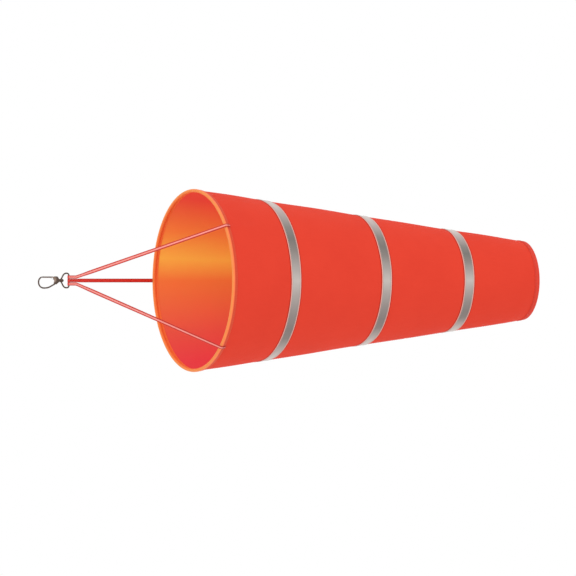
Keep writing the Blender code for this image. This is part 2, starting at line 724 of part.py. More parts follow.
clear_scene()
PARTS = new_collection("windsock")
CUTTERS = new_collection("cutters")
CLOTH_RED = finish("sleeve cloth", (0.80, 0.065, 0.035), 0.65, 0.0)
BAND_GREY = finish("reflective tape", (0.50, 0.48, 0.46), 0.35, 0.0)
BINDING_ORANGE = finish("orange binding", (1.0, 0.28, 0.09), 0.6, 0.0)
STRAP_RED = finish("strap webbing", (0.58, 0.03, 0.025), 0.6, 0.0)
BRONZE = finish("dark bronze", (0.12, 0.09, 0.07), 0.35, 0.9)
GATE_BROWN = finish("gate", (0.16, 0.11, 0.085), 0.35, 0.9)
SPRING_STEEL = finish("spring steel", (0.45, 0.45, 0.46), 0.3, 1.0)
make_hook()
make_gate()
make_gate_pin()
make_gate_spring()
make_rivet()
make_eye()
make_harness()
make_hoop()
make_mouth_hem()
make_sections()
make_bands()
make_seams()
make_tail_hem()
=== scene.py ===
# %% [markdown]
# # A windsock on a swivel snap hook
#
# This lesson dresses a windsock: a tapered nylon sleeve held open by a hoop in its rim, three
# webbing straps, and a small cast snap hook with a swivelling eye. The working parts already exist
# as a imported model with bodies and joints. Here each soft piece is built as a surface worked out
# with numpy, and each casting is re-skinned from its own working solid, so nothing changes place.

# %% Load the frame
import json
import math

import bmesh
import bpy
import numpy as np
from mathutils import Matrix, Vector


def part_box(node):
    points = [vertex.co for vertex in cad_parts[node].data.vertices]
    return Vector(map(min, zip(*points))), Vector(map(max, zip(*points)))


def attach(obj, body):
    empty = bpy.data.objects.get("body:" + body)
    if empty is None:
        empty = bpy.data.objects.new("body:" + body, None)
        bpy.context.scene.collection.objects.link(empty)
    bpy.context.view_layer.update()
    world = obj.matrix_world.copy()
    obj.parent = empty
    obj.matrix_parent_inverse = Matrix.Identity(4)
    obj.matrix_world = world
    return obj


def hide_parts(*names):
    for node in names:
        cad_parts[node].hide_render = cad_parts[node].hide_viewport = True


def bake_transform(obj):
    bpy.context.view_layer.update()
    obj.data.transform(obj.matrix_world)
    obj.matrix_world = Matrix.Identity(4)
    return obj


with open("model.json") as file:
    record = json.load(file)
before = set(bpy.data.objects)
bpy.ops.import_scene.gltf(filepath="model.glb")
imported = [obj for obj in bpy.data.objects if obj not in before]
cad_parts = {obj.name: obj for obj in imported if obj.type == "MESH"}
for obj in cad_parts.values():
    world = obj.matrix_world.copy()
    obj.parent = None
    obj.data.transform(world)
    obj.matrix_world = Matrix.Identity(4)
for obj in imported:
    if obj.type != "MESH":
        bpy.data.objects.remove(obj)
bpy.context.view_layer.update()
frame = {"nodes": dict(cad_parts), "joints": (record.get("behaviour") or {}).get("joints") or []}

# %% [markdown]
# ## Sizes
#
# Every place comes from the frame. The sleeve is one straight cone, so two radii at two places give
# its slope, and the hinge lines of the droop joints say where the cloth has to be able to bend.

# %% Read the sizes of the sleeve from the frame


def corners(node):
    """Lowest and highest corner of a working part, as arrays."""
    low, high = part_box(node)
    return np.array(low), np.array(high)


AIR = 0.0003  # air between pieces that touch
CLOTH = 0.0006  # nylon and its coating
TAPE_LIFT = 0.0010  # from the cloth to the face of what is sewn on it
rim_low, rim_high = corners("mouth_binding")
tail_low, tail_high = corners("tail_binding")
MOUTH_X, TAIL_X = rim_low[0], tail_high[0]
FRONT_X = corners("sleeve_section_1")[0][0]
FRONT_RADIUS = corners("sleeve_section_1")[1][2]
BANDS = [[corner[0] for corner in corners(f"reflective_band_{i}")] for i in (1, 2, 3)]
LAST_RADIUS = corners("reflective_band_3")[1][2] - TAPE_LIFT
SLOPE = (FRONT_RADIUS - LAST_RADIUS) / (BANDS[2][0] - FRONT_X)
HEM_REAR_X = rim_high[0]
TAIL_HEM_X = tail_low[0]
joints = {joint["name"]: joint["pos_m"] for joint in frame["joints"]}
print(f"mouth at {MOUTH_X:.4f}, tail at {TAIL_X:.4f}, slope {SLOPE:.4f}")


def cone_radius(x):
    """Outer radius of the flat-sided cone: it falls in a straight line from front to tail."""
    return FRONT_RADIUS - SLOPE * (x - FRONT_X)


# %% [markdown]
# ## Camera
#
# The sock flies level and is seen from a little in front of its side, 26 degrees round. A parallel
# view keeps the two ends at one scale, as a catalogue drawing does. The straps and the sleeve are
# held taut, so no cord has to be laid out before the rest.

# %% Camera
VIEW_TURN = math.radians(-26.3)
FIELD = 1.252  # width of the view
STAND_OFF = 4.0
AIM = Vector((0.603, 0.0, -0.0163))

camera_data = bpy.data.cameras.new("camera")
camera_data.type = "ORTHO"
camera_data.ortho_scale = FIELD
camera = bpy.data.objects.new("camera", camera_data)
bpy.context.scene.collection.objects.link(camera)
back = Vector((math.sin(VIEW_TURN), -math.cos(VIEW_TURN), 0.0))
camera.location = AIM + back * STAND_OFF
camera.rotation_euler = (-back).to_track_quat("-Z", "Y").to_euler()
camera_data.clip_end = 400.0
bpy.context.scene.camera = camera
print(f"the view is {FIELD} m wide")

# %% [markdown]
# ## Stage
#
# A pale floor well below the sock, an even bright sky and one broad soft lamp, high on the near
# side. The sock is drawn flat and evenly lit, so most of the light comes from all round, and the
# lamp adds just enough from one side to show the weave and the folds.

# %% Floor, sky and lamp
FLOOR_DROP = 0.95
FLOOR_SIZE = 300.0
FLOOR_GREY = 0.95
SKY = 1.0  # light that the sky gives
LAMP = 0.50
LAMP_TURN = (math.radians(48.0), 0.0, math.radians(-42.0))
LAMP_SPREAD = math.radians(35.0)


def srgb(red, green, blue):
    """A colour given as 0 to 255, as the linear values that shaders use."""
    share = np.array([red, green, blue]) / 255.0
    return tuple(np.where(share <= 0.04045, share / 12.92, ((share + 0.055) / 1.055) ** 2.4))


def place_object(name, data):
    """An object in the scene, at the origin and unturned."""
    obj = bpy.data.objects.new(name, data)
    bpy.context.scene.collection.objects.link(obj)
    return obj


def plain_surface(name, half, z):
    """One flat square."""
    mesh = bpy.data.meshes.new(name)
    places = [(-half, -half, z), (half, -half, z), (half, half, z), (-half, half, z)]
    mesh.from_pydata(places, [], [(0, 1, 2, 3)])
    return place_object(name, mesh)


floor = plain_surface("floor", FLOOR_SIZE / 2, -FLOOR_DROP)
floor_finish = bpy.data.materials.new("pale floor")
floor_finish.use_nodes = True
floor_shader = floor_finish.node_tree.nodes["Principled BSDF"]
floor_shader.inputs["Base Color"].default_value = (FLOOR_GREY, FLOOR_GREY, FLOOR_GREY, 1)
floor_shader.inputs["Roughness"].default_value = 0.9
floor.data.materials.append(floor_finish)

world = bpy.data.worlds.new("sky")
world.use_nodes = True
sky_light = world.node_tree.nodes["Background"]
sky_light.inputs["Strength"].default_value = SKY
sky_light.inputs["Color"].default_value = (1, 1, 1, 1)
bpy.context.scene.world = world

lamp_data = bpy.data.lights.new("soft lamp", "SUN")
lamp_data.energy = LAMP
lamp_data.angle = LAMP_SPREAD
lamp = place_object("soft lamp", lamp_data)
lamp.rotation_euler = LAMP_TURN
bpy.context.scene.view_settings.view_transform = "Standard"

# %% [markdown]
# ## From arrays to a mesh
#
# Nearly every piece is a grid: rows along one direction and columns along another. One function
# turns such a grid of points into a mesh of quads. It joins the last column to the first for a
# ring, and the last row to the first for a closed section. A closed piece is turned the right way
# out by its own volume, which is positive only if its faces look outwards.

# %% Mesh helpers
SHARP = math.radians(38.0)
WELD = 1e-7


def volume_of(points, quads):
    """Signed volume: the sum over triangles of a . (b x c) / 6."""
    a, b, c, d = (points[quads[:, k]] for k in range(4))
    triple = np.einsum("ij,ij->i", a, np.cross(b, c)) + np.einsum("ij,ij->i", a, np.cross(c, d))
    return float(triple.sum() / 6.0)


def surface(name, points, around=False, across=False, uv=None, marks=None):
    """A grid of points (rows, columns, 3) as quads (i,j) (i+1,j) (i+1,j+1) (i,j+1).

    uv is given at every corner, so it has one more column (or row) than a joined grid. marks is
    {attribute: values at the points}. Poles are rows of one repeated point, and are welded.
    """
    rows, columns = points.shape[:2]
    i, j = np.meshgrid(np.arange(rows - 1 + across), np.arange(columns - 1 + around), indexing="ij")
    corner_i = np.stack([i, i + 1, i + 1, i], axis=-1).reshape(-1, 4)
    corner_j = np.stack([j, j, j + 1, j + 1], axis=-1).reshape(-1, 4)
    quads = (corner_i % rows) * columns + corner_j % columns
    flat = points.reshape(-1, 3)
    if volume_of(flat, quads) < 0:
        corner_i, corner_j, quads = corner_i[:, ::-1], corner_j[:, ::-1], quads[:, ::-1]
    mesh = bpy.data.meshes.new(name)
    mesh.from_pydata(flat.tolist(), [], quads.tolist())
    if uv is not None:
        layer = mesh.uv_layers.new(name="pattern")
        layer.data.foreach_set("uv", uv[corner_i, corner_j].reshape(-1).astype(np.float32))
    for mark, values in (marks or {}).items():
        attribute = mesh.attributes.new(mark, "FLOAT", "POINT")
        spread = np.broadcast_to(values, (rows, columns)).reshape(-1)
        attribute.data.foreach_set("value", spread.astype(np.float32))
    weld(mesh)
    mesh.shade_smooth()
    mesh.set_sharp_from_angle(angle=SHARP)
    return place_object(name, mesh)


def grid_uv(u, v):
    """UV pairs for every corner of a grid, from a row of u and a column of v or the reverse."""
    return np.stack(np.broadcast_arrays(u, v), axis=-1)


def weld(mesh, near=WELD):
    """Merge the points that lie in one place, which closes poles."""
    work = bmesh.new()
    work.from_mesh(mesh)
    bmesh.ops.remove_doubles(work, verts=work.verts, dist=near)
    work.to_mesh(mesh)
    work.free()


def report(piece):
    """Print a finished piece's faces and size."""
    low = np.array([v[:] for v in piece.bound_box]).min(axis=0)
    high = np.array([v[:] for v in piece.bound_box]).max(axis=0)
    size = np.round((high - low) * 1000, 1).tolist()
    print(f"{piece.name}: {len(piece.data.polygons)} faces, {size} mm")


# %% [markdown]
# ## The sleeve's shape
#
# The wind fills the sleeve, so it is a cone first of all. Three small things tell that it is cloth.
# Between two sewn rings it swells a little. Along each row of stitches the thread draws it into
# fine puckers. Where a strap pulls at the rim, a short fold runs back and fades. All of it is one
# formula for the radius, so whatever is sewn on can follow the same surface.

# %% The sleeve's radius as a formula
STRAP_ANGLES = {"upper": 37.0, "lower": -47.0, "far": 180.0}
SWELL = 0.0007  # of the cloth between two rings
PUCKER = 0.00016  # depth of the gathers beside a row of stitches
PUCKER_REACH = 0.006
PULL = 0.0011  # height of a fold behind a strap
PULL_REACH = 0.085
DRAPE = 0.00032  # slow waves of the whole cloth
SEAM_TURN = math.radians(-93.75)  # the lengthwise seam, just past the bottom
SEAM_HALF = 0.0050
SEAM_RISE = 0.0007
RINGS = np.array([HEM_REAR_X, *(sum(band) / 2 for band in BANDS), TAIL_HEM_X])
SEWN = np.array([HEM_REAR_X, *(x for band in BANDS for x in band), TAIL_HEM_X])


def ease(t):
    """0 below 0, 1 above 1, and a smooth step 3t^2 - 2t^3 between."""
    t = np.clip(t, 0.0, 1.0)
    return t * t * (3.0 - 2.0 * t)


def apart(turn, other):
    """Angle from other to turn, between minus and plus half a turn."""
    return (turn - other + math.pi) % (2 * math.pi) - math.pi


def swell(x):
    """A sine squared between each ring and the next."""
    k = np.clip(np.searchsorted(RINGS, x) - 1, 0, len(RINGS) - 2)
    share = np.clip((x - RINGS[k]) / (RINGS[k + 1] - RINGS[k]), 0.0, 1.0)
    return SWELL * np.sin(np.pi * share) ** 2


def puckers(x, turn):
    """Sums, over the sewn lines, a ripple round the sleeve that dies away with distance."""
    line = np.arange(len(SEWN))
    away = np.abs(x[..., None] - SEWN)
    spin = turn[..., None]
    wander = 0.9 * np.sin(7 * spin + line)
    ripple = np.sin(spin * (96 - 6 * line) + 2.1 * line + wander)
    return -PUCKER * ((1.0 + ripple) * np.exp(-away / PUCKER_REACH)).sum(axis=-1)


def strap_folds(x, turn):
    """Behind each strap a crest with a valley on either side: (1 - s^2) exp(-s^2 / 2)."""
    back_from_rim = np.clip(x - MOUTH_X, 0.0, None)
    total = np.zeros(np.broadcast(x, turn).shape)
    for angle in STRAP_ANGLES.values():
        sideways = apart(turn, math.radians(angle)) * cone_radius(x)
        s = sideways / (0.008 + 0.16 * back_from_rim)
        total += (1.0 - s**2) * np.exp(-(s**2) / 2)
    return PULL * total * np.exp(-back_from_rim / PULL_REACH)


def drape(x, turn):
    """Five slow waves of unlike lengths, which never repeat along the sleeve."""
    waves = [(2, 9.0, 0.3), (3, -14.0, 1.9), (5, 21.0, 4.0), (7, -33.0, 0.8), (11, 12.0, 2.6)]
    return DRAPE * sum(
        np.sin(n * turn + k * x + p) / math.sqrt(i + 1) for i, (n, k, p) in enumerate(waves)
    )


def seam_ridge(x, turn):
    """The felled seam: four layers of cloth in a flat ridge with soft shoulders."""
    sideways = np.abs(apart(turn, SEAM_TURN)) * cone_radius(x)
    return SEAM_RISE * (1.0 - ease((sideways - SEAM_HALF) / 0.0012))


def sleeve_radius(x, turn):
    """Outer radius of the cloth at a place along X and an angle round the sleeve.

    Angles run from the near side (-Y) towards the top (+Z). The slow shapes start behind the hem.
    """
    free = ease((x - HEM_REAR_X) / 0.030) * ease((TAIL_HEM_X - x) / 0.020)
    slow = free * (swell(x) + strap_folds(x, turn) + drape(x, turn))
    return cone_radius(x) + slow + puckers(x, turn) + seam_ridge(x, turn)


def on_sleeve(x, turn, lift=0.0):
    """Points on the sleeve, raised by lift: (x, -r cos, r sin)."""
    x, turn = np.broadcast_arrays(x, turn)
    radius = sleeve_radius(x, turn) + lift
    return np.stack([x, -radius * np.cos(turn), radius * np.sin(turn)], axis=-1)


print("rings at", np.round(RINGS, 4).tolist())

# %% [markdown]
# ## The flat pattern
#
# Cloth is woven flat, and a cone unrolls without stretching: a point at distance s from the apex
# and angle t round the axis lies at s (sin, cos)(t sin a) on the table, where a is half the cone's
# opening. Those flat places are the UV map, in metres, so the weave follows the cut of the cloth
# and keeps its size from mouth to tail. The same formula gives the size that each panel was cut to.

# %% Unroll the cone
APEX_X = FRONT_X + FRONT_RADIUS / SLOPE
HALF_OPENING = math.atan(SLOPE)
AROUND = 384  # columns round the sleeve
ROW = 0.0040  # between rows of the cloth


def turns(count):
    """Angles of the columns, counted from the seam, with the last one a full turn on."""
    return SEAM_TURN + np.linspace(0.0, 2 * math.pi, count + 1)


def unrolled(x, turn):
    """Flat pattern coordinates of a place on the cone, in metres."""
    slant = (APEX_X - x) / math.cos(HALF_OPENING)
    swing = (turn - SEAM_TURN - math.pi) * math.sin(HALF_OPENING)
    return np.stack([slant * np.sin(swing), slant * np.cos(swing)], axis=-1)


def pattern_size(x0, x1):
    """(width, length) of the rectangle that a panel is cut from, and the panel's area."""
    long, short = ((APEX_X - x) / math.cos(HALF_OPENING) for x in (x0, x1))
    swing = math.pi * math.sin(HALF_OPENING)
    return (2 * long * math.sin(swing), long - short * math.cos(swing)), (long**2 - short**2) * swing


print("whole sleeve, flat:", pattern_size(FRONT_X, TAIL_X))

# %% [markdown]
# ## Where the sleeve may bend
#
# As the wind drops, the sleeve folds down at each band. A panel may follow only one joint, so the
# cloth is cut midway between two bends, where it doesn't move against itself. The panels meet edge
# to edge on the same points, and no joint shows. Each bend is given a length of cloth, and the cuts
# lie midway between these lengths; the panels themselves are baked in place.

# %% Bends
BENDS = [  # rear body, front body, where the bend ends at the rear, and where at the front
    ("section_2", "mouth", joints["droop_1"][0] + 0.090, joints["droop_1"][0] - 0.090),
    ("section_3", "section_2", joints["droop_2"][0] + 0.090, joints["droop_2"][0] - 0.090),
    ("tail", "section_3", joints["droop_3"][0] + 0.085, joints["droop_3"][0] - 0.085),
]
CUTS = [(ahead[2] + behind[3]) / 2 for ahead, behind in zip(BENDS[:-1], BENDS[1:])]
PANELS = list(zip([FRONT_X, *CUTS], [*CUTS, TAIL_X - AIR]))


def bend(piece):
    """Bake the piece's place into its points; it follows no body."""
    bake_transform(piece)


def settle(piece, finish, moves_with, slot, *stands_for):
    """Give a finished piece its looks and its body, or bake it in place, and hide what it stands for;
    slot is not used.
    """
    if finish is not None:
        piece.data.materials.append(finish)
    if isinstance(moves_with, int):
        bend(piece)
    else:
        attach(piece, moves_with)
    if stands_for:
        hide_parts(*stands_for)


print("cuts at", np.round(CUTS, 4).tolist())

# %% [markdown]
# ## Shared finishes
#
# Three effects turn up in more than one finish, so each is a node group: the over and under of a
# weave, the uneven tone of anything dyed or cast, and the wear that bares an edge. A group gives
# out only values, and the shader itself stays in each material.

# %% Node helpers


def add(tree, kind, settings=None, **inputs):
    """A node with its properties and the default values of its named inputs."""
    node = tree.nodes.new(kind)
    for key, value in (settings or {}).items():
        setattr(node, key, value)
    for key, value in inputs.items():
        node.inputs[key].default_value = value
    return node


def feed(tree, socket, value):
    """Give a socket another node's output, a colour or a number; None leaves it alone."""
    if isinstance(value, bpy.types.NodeSocket):
        tree.links.new(value, socket)
    elif isinstance(value, tuple):
        socket.default_value = (*value, 1.0)
    elif value is not None:
        socket.default_value = value


def math_node(tree, operation, a, b=None):
    """One step of arithmetic; a and b are numbers or output sockets."""
    node = add(tree, "ShaderNodeMath", {"operation": operation})
    feed(tree, node.inputs[0], a)
    feed(tree, node.inputs[1], b)
    return node.outputs[0]


def scaled_by(tree, value, factor, shift=0.0):
    """value x factor + shift."""
    product = math_node(tree, "MULTIPLY", value, factor)
    return math_node(tree, "ADD", product, shift) if shift else product


def blend_colour(tree, share, a, b, mode="MIX"):
    """A mix of two colours; each is a tuple or an output socket."""
    node = add(tree, "ShaderNodeMix", {"data_type": "RGBA", "blend_type": mode})
    for number, value in ((0, share), (6, a), (7, b)):
        feed(tree, node.inputs[number], value)
    return node.outputs[2]


def between(tree, value, low, high, from_value=0.0, to_value=1.0, curve="SMOOTHSTEP"):
    """value from low to high becomes from_value to to_value, along a smooth or a straight curve."""
    node = add(tree, "ShaderNodeMapRange", {"interpolation_type": curve})
    ends = {"From Min": low, "From Max": high, "To Min": from_value, "To Max": to_value}
    for label, end in ends.items():
        node.inputs[label].default_value = end
    tree.links.new(value, node.inputs["Value"])
    return node.outputs[0]


def new_group(name, inputs, outputs):
    """An empty group with named float or vector inputs and float outputs."""
    group = bpy.data.node_groups.new(name, "ShaderNodeTree")
    for label, kind, value in inputs:
        socket = group.interface.new_socket(label, in_out="INPUT", socket_type=kind)
        if value is not None:
            socket.default_value = value
    for label in outputs:
        group.interface.new_socket(label, in_out="OUTPUT", socket_type="NodeSocketFloat")
    return group, group.nodes.new("NodeGroupInput"), group.nodes.new("NodeGroupOutput")


def use(tree, group, place, **values):
    """Place a group in a material, fed with coordinates and its own values."""
    node = tree.nodes.new("ShaderNodeGroup")
    node.node_tree = group
    tree.links.new(place, node.inputs["Place"])
    for label, value in values.items():
        node.inputs[label].default_value = value
    return node


# %% Weave: threads pass over and under each other
SLUB_RATE = (900.0, 30.0, 1.0)  # a thick thread is thin across and long


def make_weave():
    """Height is 0.5 + 0.5 sin(2 pi u / p) sin(2 pi v / p), broken by a slow noise of thick threads."""
    group, start, end = new_group(
        "weave",
        [("Place", "NodeSocketVector", None), ("Pitch", "NodeSocketFloat", 0.001)],
        ["Height", "Slub"],
    )
    parts = group.nodes.new("ShaderNodeSeparateXYZ")
    group.links.new(start.outputs["Place"], parts.inputs[0])
    rate = math_node(group, "DIVIDE", 2 * math.pi, start.outputs["Pitch"])
    warp = math_node(group, "SINE", math_node(group, "MULTIPLY", parts.outputs[0], rate))
    weft = math_node(group, "SINE", math_node(group, "MULTIPLY", parts.outputs[1], rate))
    height = scaled_by(group, math_node(group, "MULTIPLY", warp, weft), 0.5, 0.5)
    stretch = add(group, "ShaderNodeVectorMath", {"operation": "MULTIPLY"})
    stretch.inputs[1].default_value = SLUB_RATE
    group.links.new(start.outputs["Place"], stretch.inputs[0])
    slub = add(group, "ShaderNodeTexNoise", Scale=1.0, Detail=2.0)
    group.links.new(stretch.outputs[0], slub.inputs["Vector"])
    group.links.new(height, end.inputs["Height"])
    group.links.new(slub.outputs[0], end.inputs["Slub"])
    return group


def make_mottle():
    """An uneven tone from -1 to 1: noise with a few octaves, spread out round its middle."""
    group, start, end = new_group(
        "mottle",
        [("Place", "NodeSocketVector", None), ("Scale", "NodeSocketFloat", 20.0)],
        ["Tone"],
    )
    noise = add(group, "ShaderNodeTexNoise", Detail=4.0, Roughness=0.6)
    group.links.new(start.outputs["Place"], noise.inputs["Vector"])
    group.links.new(start.outputs["Scale"], noise.inputs["Scale"])
    tone = between(group, noise.outputs[0], 0.25, 0.75, -1.0, 1.0, curve="LINEAR")
    group.links.new(tone, end.inputs["Tone"])
    return group


def make_wear():
    """Bare where an edge stands out: the edge mark plus a fine noise, cut off at a threshold."""
    group, start, end = new_group(
        "edge wear",
        [
            ("Place", "NodeSocketVector", None),
            ("Edge", "NodeSocketFloat", 0.0),
            ("Scale", "NodeSocketFloat", 900.0),
        ],
        ["Bare"],
    )
    noise = add(group, "ShaderNodeTexNoise", Detail=3.0)
    group.links.new(start.outputs["Place"], noise.inputs["Vector"])
    group.links.new(start.outputs["Scale"], noise.inputs["Scale"])
    both = math_node(group, "ADD", start.outputs["Edge"], noise.outputs[0])
    group.links.new(between(group, both, 0.75, 1.15), end.inputs["Bare"])
    return group


WEAVE, MOTTLE, WEAR = make_weave(), make_mottle(), make_wear()
print("groups:", [group.name for group in bpy.data.node_groups])

# %% [markdown]
# ## Cloth and thread
#
# The nylon has one strong red-orange dye. Its colour hardly changes, so the life is in the weave,
# in a faint unevenness of the dye, and in a painted shade line just outside each band's edge.
# Inside, the inner face carries painted light for the daylight that would come through the thin
# cloth: its colour and a weak painted glow of its own finish are orange along the flank, a little
# above the middle, and go back to red at the top and the bottom.

# %% Start a finish


def start_finish(name, roughness, metallic=0.0, level=0.5):
    """A material with one Principled shader; uniform values sit on its own sockets."""
    finish = bpy.data.materials.new(name)
    finish.use_nodes = True
    shader = finish.node_tree.nodes["Principled BSDF"]
    shader.inputs["Roughness"].default_value = roughness
    shader.inputs["Metallic"].default_value = metallic
    shader.inputs["Specular IOR Level"].default_value = level
    return finish, finish.node_tree, shader


def pattern_place(tree):
    """The piece's own flat coordinates, in metres."""
    node = tree.nodes.new("ShaderNodeUVMap")
    node.uv_map = "pattern"
    return node.outputs[0]


def across_of(tree, place, number=1):
    """One of the flat coordinates; number 1 is the distance across a tape."""
    parts = tree.nodes.new("ShaderNodeSeparateXYZ")
    tree.links.new(place, parts.inputs[0])
    return parts.outputs[number]


def mark_value(tree, name):
    """A value that the mesh carries at its points."""
    node = tree.nodes.new("ShaderNodeAttribute")
    node.attribute_name = name
    return node.outputs["Fac"]


def bump(tree, shader, height, depth):
    """Give the shader a bumped normal; depth is the real height of the pattern in metres."""
    node = add(tree, "ShaderNodeBump", Distance=depth)
    tree.links.new(height, node.inputs["Height"])
    tree.links.new(node.outputs[0], shader.inputs["Normal"])


# %% Sleeve cloth
CLOTH_RED = srgb(225, 67, 48)
CLOTH_DEEP = srgb(204, 50, 36)
CLOTH_BAND_SHADE = srgb(160, 36, 28)  # painted shade on the line just outside a band's edge
INNER_PAINTED_LIGHT = [  # height round the sleeve from -1 to 1, and the painted light there, for the inner face's colour and glow
    (-0.92, srgb(222, 64, 72)),
    (-0.60, srgb(221, 84, 70)),
    (0.00, srgb(232, 120, 60)),
    (0.25, srgb(241, 178, 72)),
    (0.55, srgb(236, 130, 62)),
    (0.92, srgb(225, 74, 60)),
]
THREAD_PITCH = 0.0011
PAINTED_GLOW = 0.49  # strength of the painted glow on the inner face
INNER_LIGHT_SHARE = 0.60  # share of the painted light in the inner face's colour
DYE_SHARE, SLUB_SHARE = 0.12, 0.25  # of the deep red that uneven dye and thick threads bring
FOLD_SHARE = 1.5  # height of the slow creases, in weave heights
CLOTH_RELIEF = 0.00012


def ramp(tree, value, stops):
    """A colour ramp over -1 to 1."""
    node = tree.nodes.new("ShaderNodeValToRGB")
    elements = node.color_ramp.elements
    while len(elements) < len(stops):
        elements.new(0.5)
    for element, (place, colour) in zip(elements, stops):
        element.position = place / 2 + 0.5
        element.color = (*colour, 1.0)
    tree.links.new(scaled_by(tree, value, 0.5, 0.5), node.inputs[0])
    return node.outputs[0]


def cloth_finish(name, inside):
    """Woven nylon; the inner face carries painted light in its colour and a glow, the outer face a
    painted shade line.
    """
    finish, tree, shader = start_finish(name, roughness=0.75, level=0.06)
    place = pattern_place(tree)
    weave = use(tree, WEAVE, place, Pitch=THREAD_PITCH)
    dye = use(tree, MOTTLE, place, Scale=9.0)
    fold = use(tree, MOTTLE, place, Scale=30.0)
    slub = scaled_by(tree, weave.outputs["Slub"], SLUB_SHARE)
    tone = math_node(tree, "ADD", scaled_by(tree, dye.outputs[0], DYE_SHARE), slub)
    if inside:
        # painted light: a colour ramp by height round the sleeve sets the inner face's colour and its
        # glow
        lit = ramp(tree, mark_value(tree, "height"), INNER_PAINTED_LIGHT)
        base_tone = blend_colour(tree, 1.0, lit, (INNER_LIGHT_SHARE,) * 3, mode="MULTIPLY")
        colour = blend_colour(tree, tone, base_tone, CLOTH_DEEP)
        tree.links.new(lit, shader.inputs["Emission Color"])
        shader.inputs["Emission Strength"].default_value = PAINTED_GLOW
    else:
        base_tone = blend_colour(tree, tone, CLOTH_RED, CLOTH_DEEP)
        # painted shade: the cloth turns darker on a line just outside each band's edge
        colour = blend_colour(tree, mark_value(tree, "band_shade_mark"), base_tone, CLOTH_BAND_SHADE)
    tree.links.new(colour, shader.inputs["Base Color"])
    creases = scaled_by(tree, fold.outputs[0], FOLD_SHARE)
    bump(tree, shader, math_node(tree, "ADD", weave.outputs["Height"], creases), CLOTH_RELIEF)
    return finish


SLEEVE_OUT = cloth_finish("sleeve cloth outside", inside=False)
SLEEVE_IN = cloth_finish("sleeve cloth inside", inside=True)

# %% [markdown]
# ## The sleeve
#
# Each panel is a closed thin shell. Its grid runs down the outer face and back up the inner one,
# so it has real thickness and real edges. The outer and inner faces take different finishes. A
# mark for the height round the sleeve feeds the painted light inside, and a mark for a painted
# shade line darkens the cloth just outside each band's edge.

# %% Build the panels
PANEL_NAMES = ["sleeve_front_panel", "sleeve_middle_panel", "sleeve_rear_panel"]
PANEL_STANDS_FOR = [
    ["sleeve_section_1"],
    ["sleeve_section_2"],
    ["sleeve_section_3", "sleeve_section_4"],
]
LINE_HALF = 0.0012  # half the width of the painted shade line beside a band
LINE_DEPTH = 0.8
PUCKER_ROWS = np.array([-0.0028, -0.0014, 0.0014, 0.0028])  # closer rows beside a sewn edge


def band_shade_line(x):
    """LINE_DEPTH of painted shade on the line just outside a band's edge, falling to 0 on both of its
    sides.
    """
    lines = np.array([edge for low, high in BANDS for edge in (low - LINE_HALF, high + LINE_HALF)])
    away = np.abs(x[..., None] - lines).min(axis=-1)
    return LINE_DEPTH * (1.0 - ease(away / (1.5 * LINE_HALF)))


def make_panel(name, x0, x1):
    """A closed shell between two places along the cone: outer rows back, inner rows forward."""
    even = np.linspace(x0, x1, max(2, round((x1 - x0) / ROW)))
    close = (SEWN[:, None] + PUCKER_ROWS).reshape(-1)
    close = close[(close > x0) & (close < x1)]
    out = np.unique(np.round(np.concatenate([even, close]), 5))
    x = np.concatenate([out, out[::-1]])
    lift = np.concatenate([np.zeros(len(out)), np.full(len(out), -CLOTH)])
    turn = turns(AROUND)
    points = on_sleeve(x[:, None], turn[None, :-1], lift[:, None])
    closed_x = np.append(x, x[0])
    uv = unrolled(*np.broadcast_arrays(closed_x[:, None], turn[None, :]))
    # the second mark carries the painted shade line beside the bands
    marks = {"height": np.sin(turn[None, :-1]), "band_shade_mark": band_shade_line(x)[:, None]}
    piece = surface(name, points, around=True, across=True, uv=uv, marks=marks)
    inner = np.repeat(np.arange(len(x)) >= len(out) - 1, AROUND)
    piece.data.materials.append(SLEEVE_OUT)
    piece.data.materials.append(SLEEVE_IN)
    piece.data.polygons.foreach_set("material_index", inner.astype(np.int32))
    return piece


panels = [make_panel(name, *ends) for name, ends in zip(PANEL_NAMES, PANELS)]
for which, (panel, nodes) in enumerate(zip(panels, PANEL_STANDS_FOR)):
    settle(panel, None, which, "sleeve_cloth", *nodes)
    report(panel)

# %% [markdown]
# ## Stitches
#
# A stitch is a short capsule that rises out of the cloth and dives back in. There are some
# thousands, so each one has only a few faces, and all of them are placed at once: a template of
# points is carried to every place by its own three directions.

# %% Stitches from one template
STITCH = 0.0032
STITCH_STEP = 0.0042
THREAD = 0.00034
STITCH_SIDES = 5
STITCH_RINGS = 4
ROW_CLEAR = 0.002  # from a seam's row to a band or a hem
SEAM_INSET = 0.0016  # from a seam's row to the ridge's side


def stitch_template():
    """Points (along, up, side) from -1 to 1 of a capsule bowed upwards, and its faces."""
    s = np.linspace(-1.0, 1.0, STITCH_RINGS + 2)[1:-1]
    spin = np.arange(STITCH_SIDES) * 2 * math.pi / STITCH_SIDES
    thick = np.sqrt(1.0 - s**4)
    ring = np.stack(
        [
            np.repeat(s[:, None], STITCH_SIDES, axis=1),
            (1.0 - s**2)[:, None] + thick[:, None] * np.cos(spin),
            thick[:, None] * np.sin(spin),
        ],
        axis=-1,
    ).reshape(-1, 3)
    points = np.vstack([[(-1.0, -0.6, 0.0)], ring, [(1.0, -0.6, 0.0)]])
    k, n = np.arange(STITCH_SIDES), STITCH_SIDES
    after = (k + 1) % n
    first = np.stack([np.zeros(n, int), 1 + k, 1 + after], axis=-1)
    base = 1 + (STITCH_RINGS - 1) * n
    last = np.stack([np.full(n, len(points) - 1), base + after, base + k], axis=-1)
    row = 1 + np.arange(STITCH_RINGS - 1)[:, None] * n
    quads = np.stack([row + k, row + n + k, row + n + after, row + after], axis=-1).reshape(-1, 4)
    return points, np.vstack([first, last]), quads


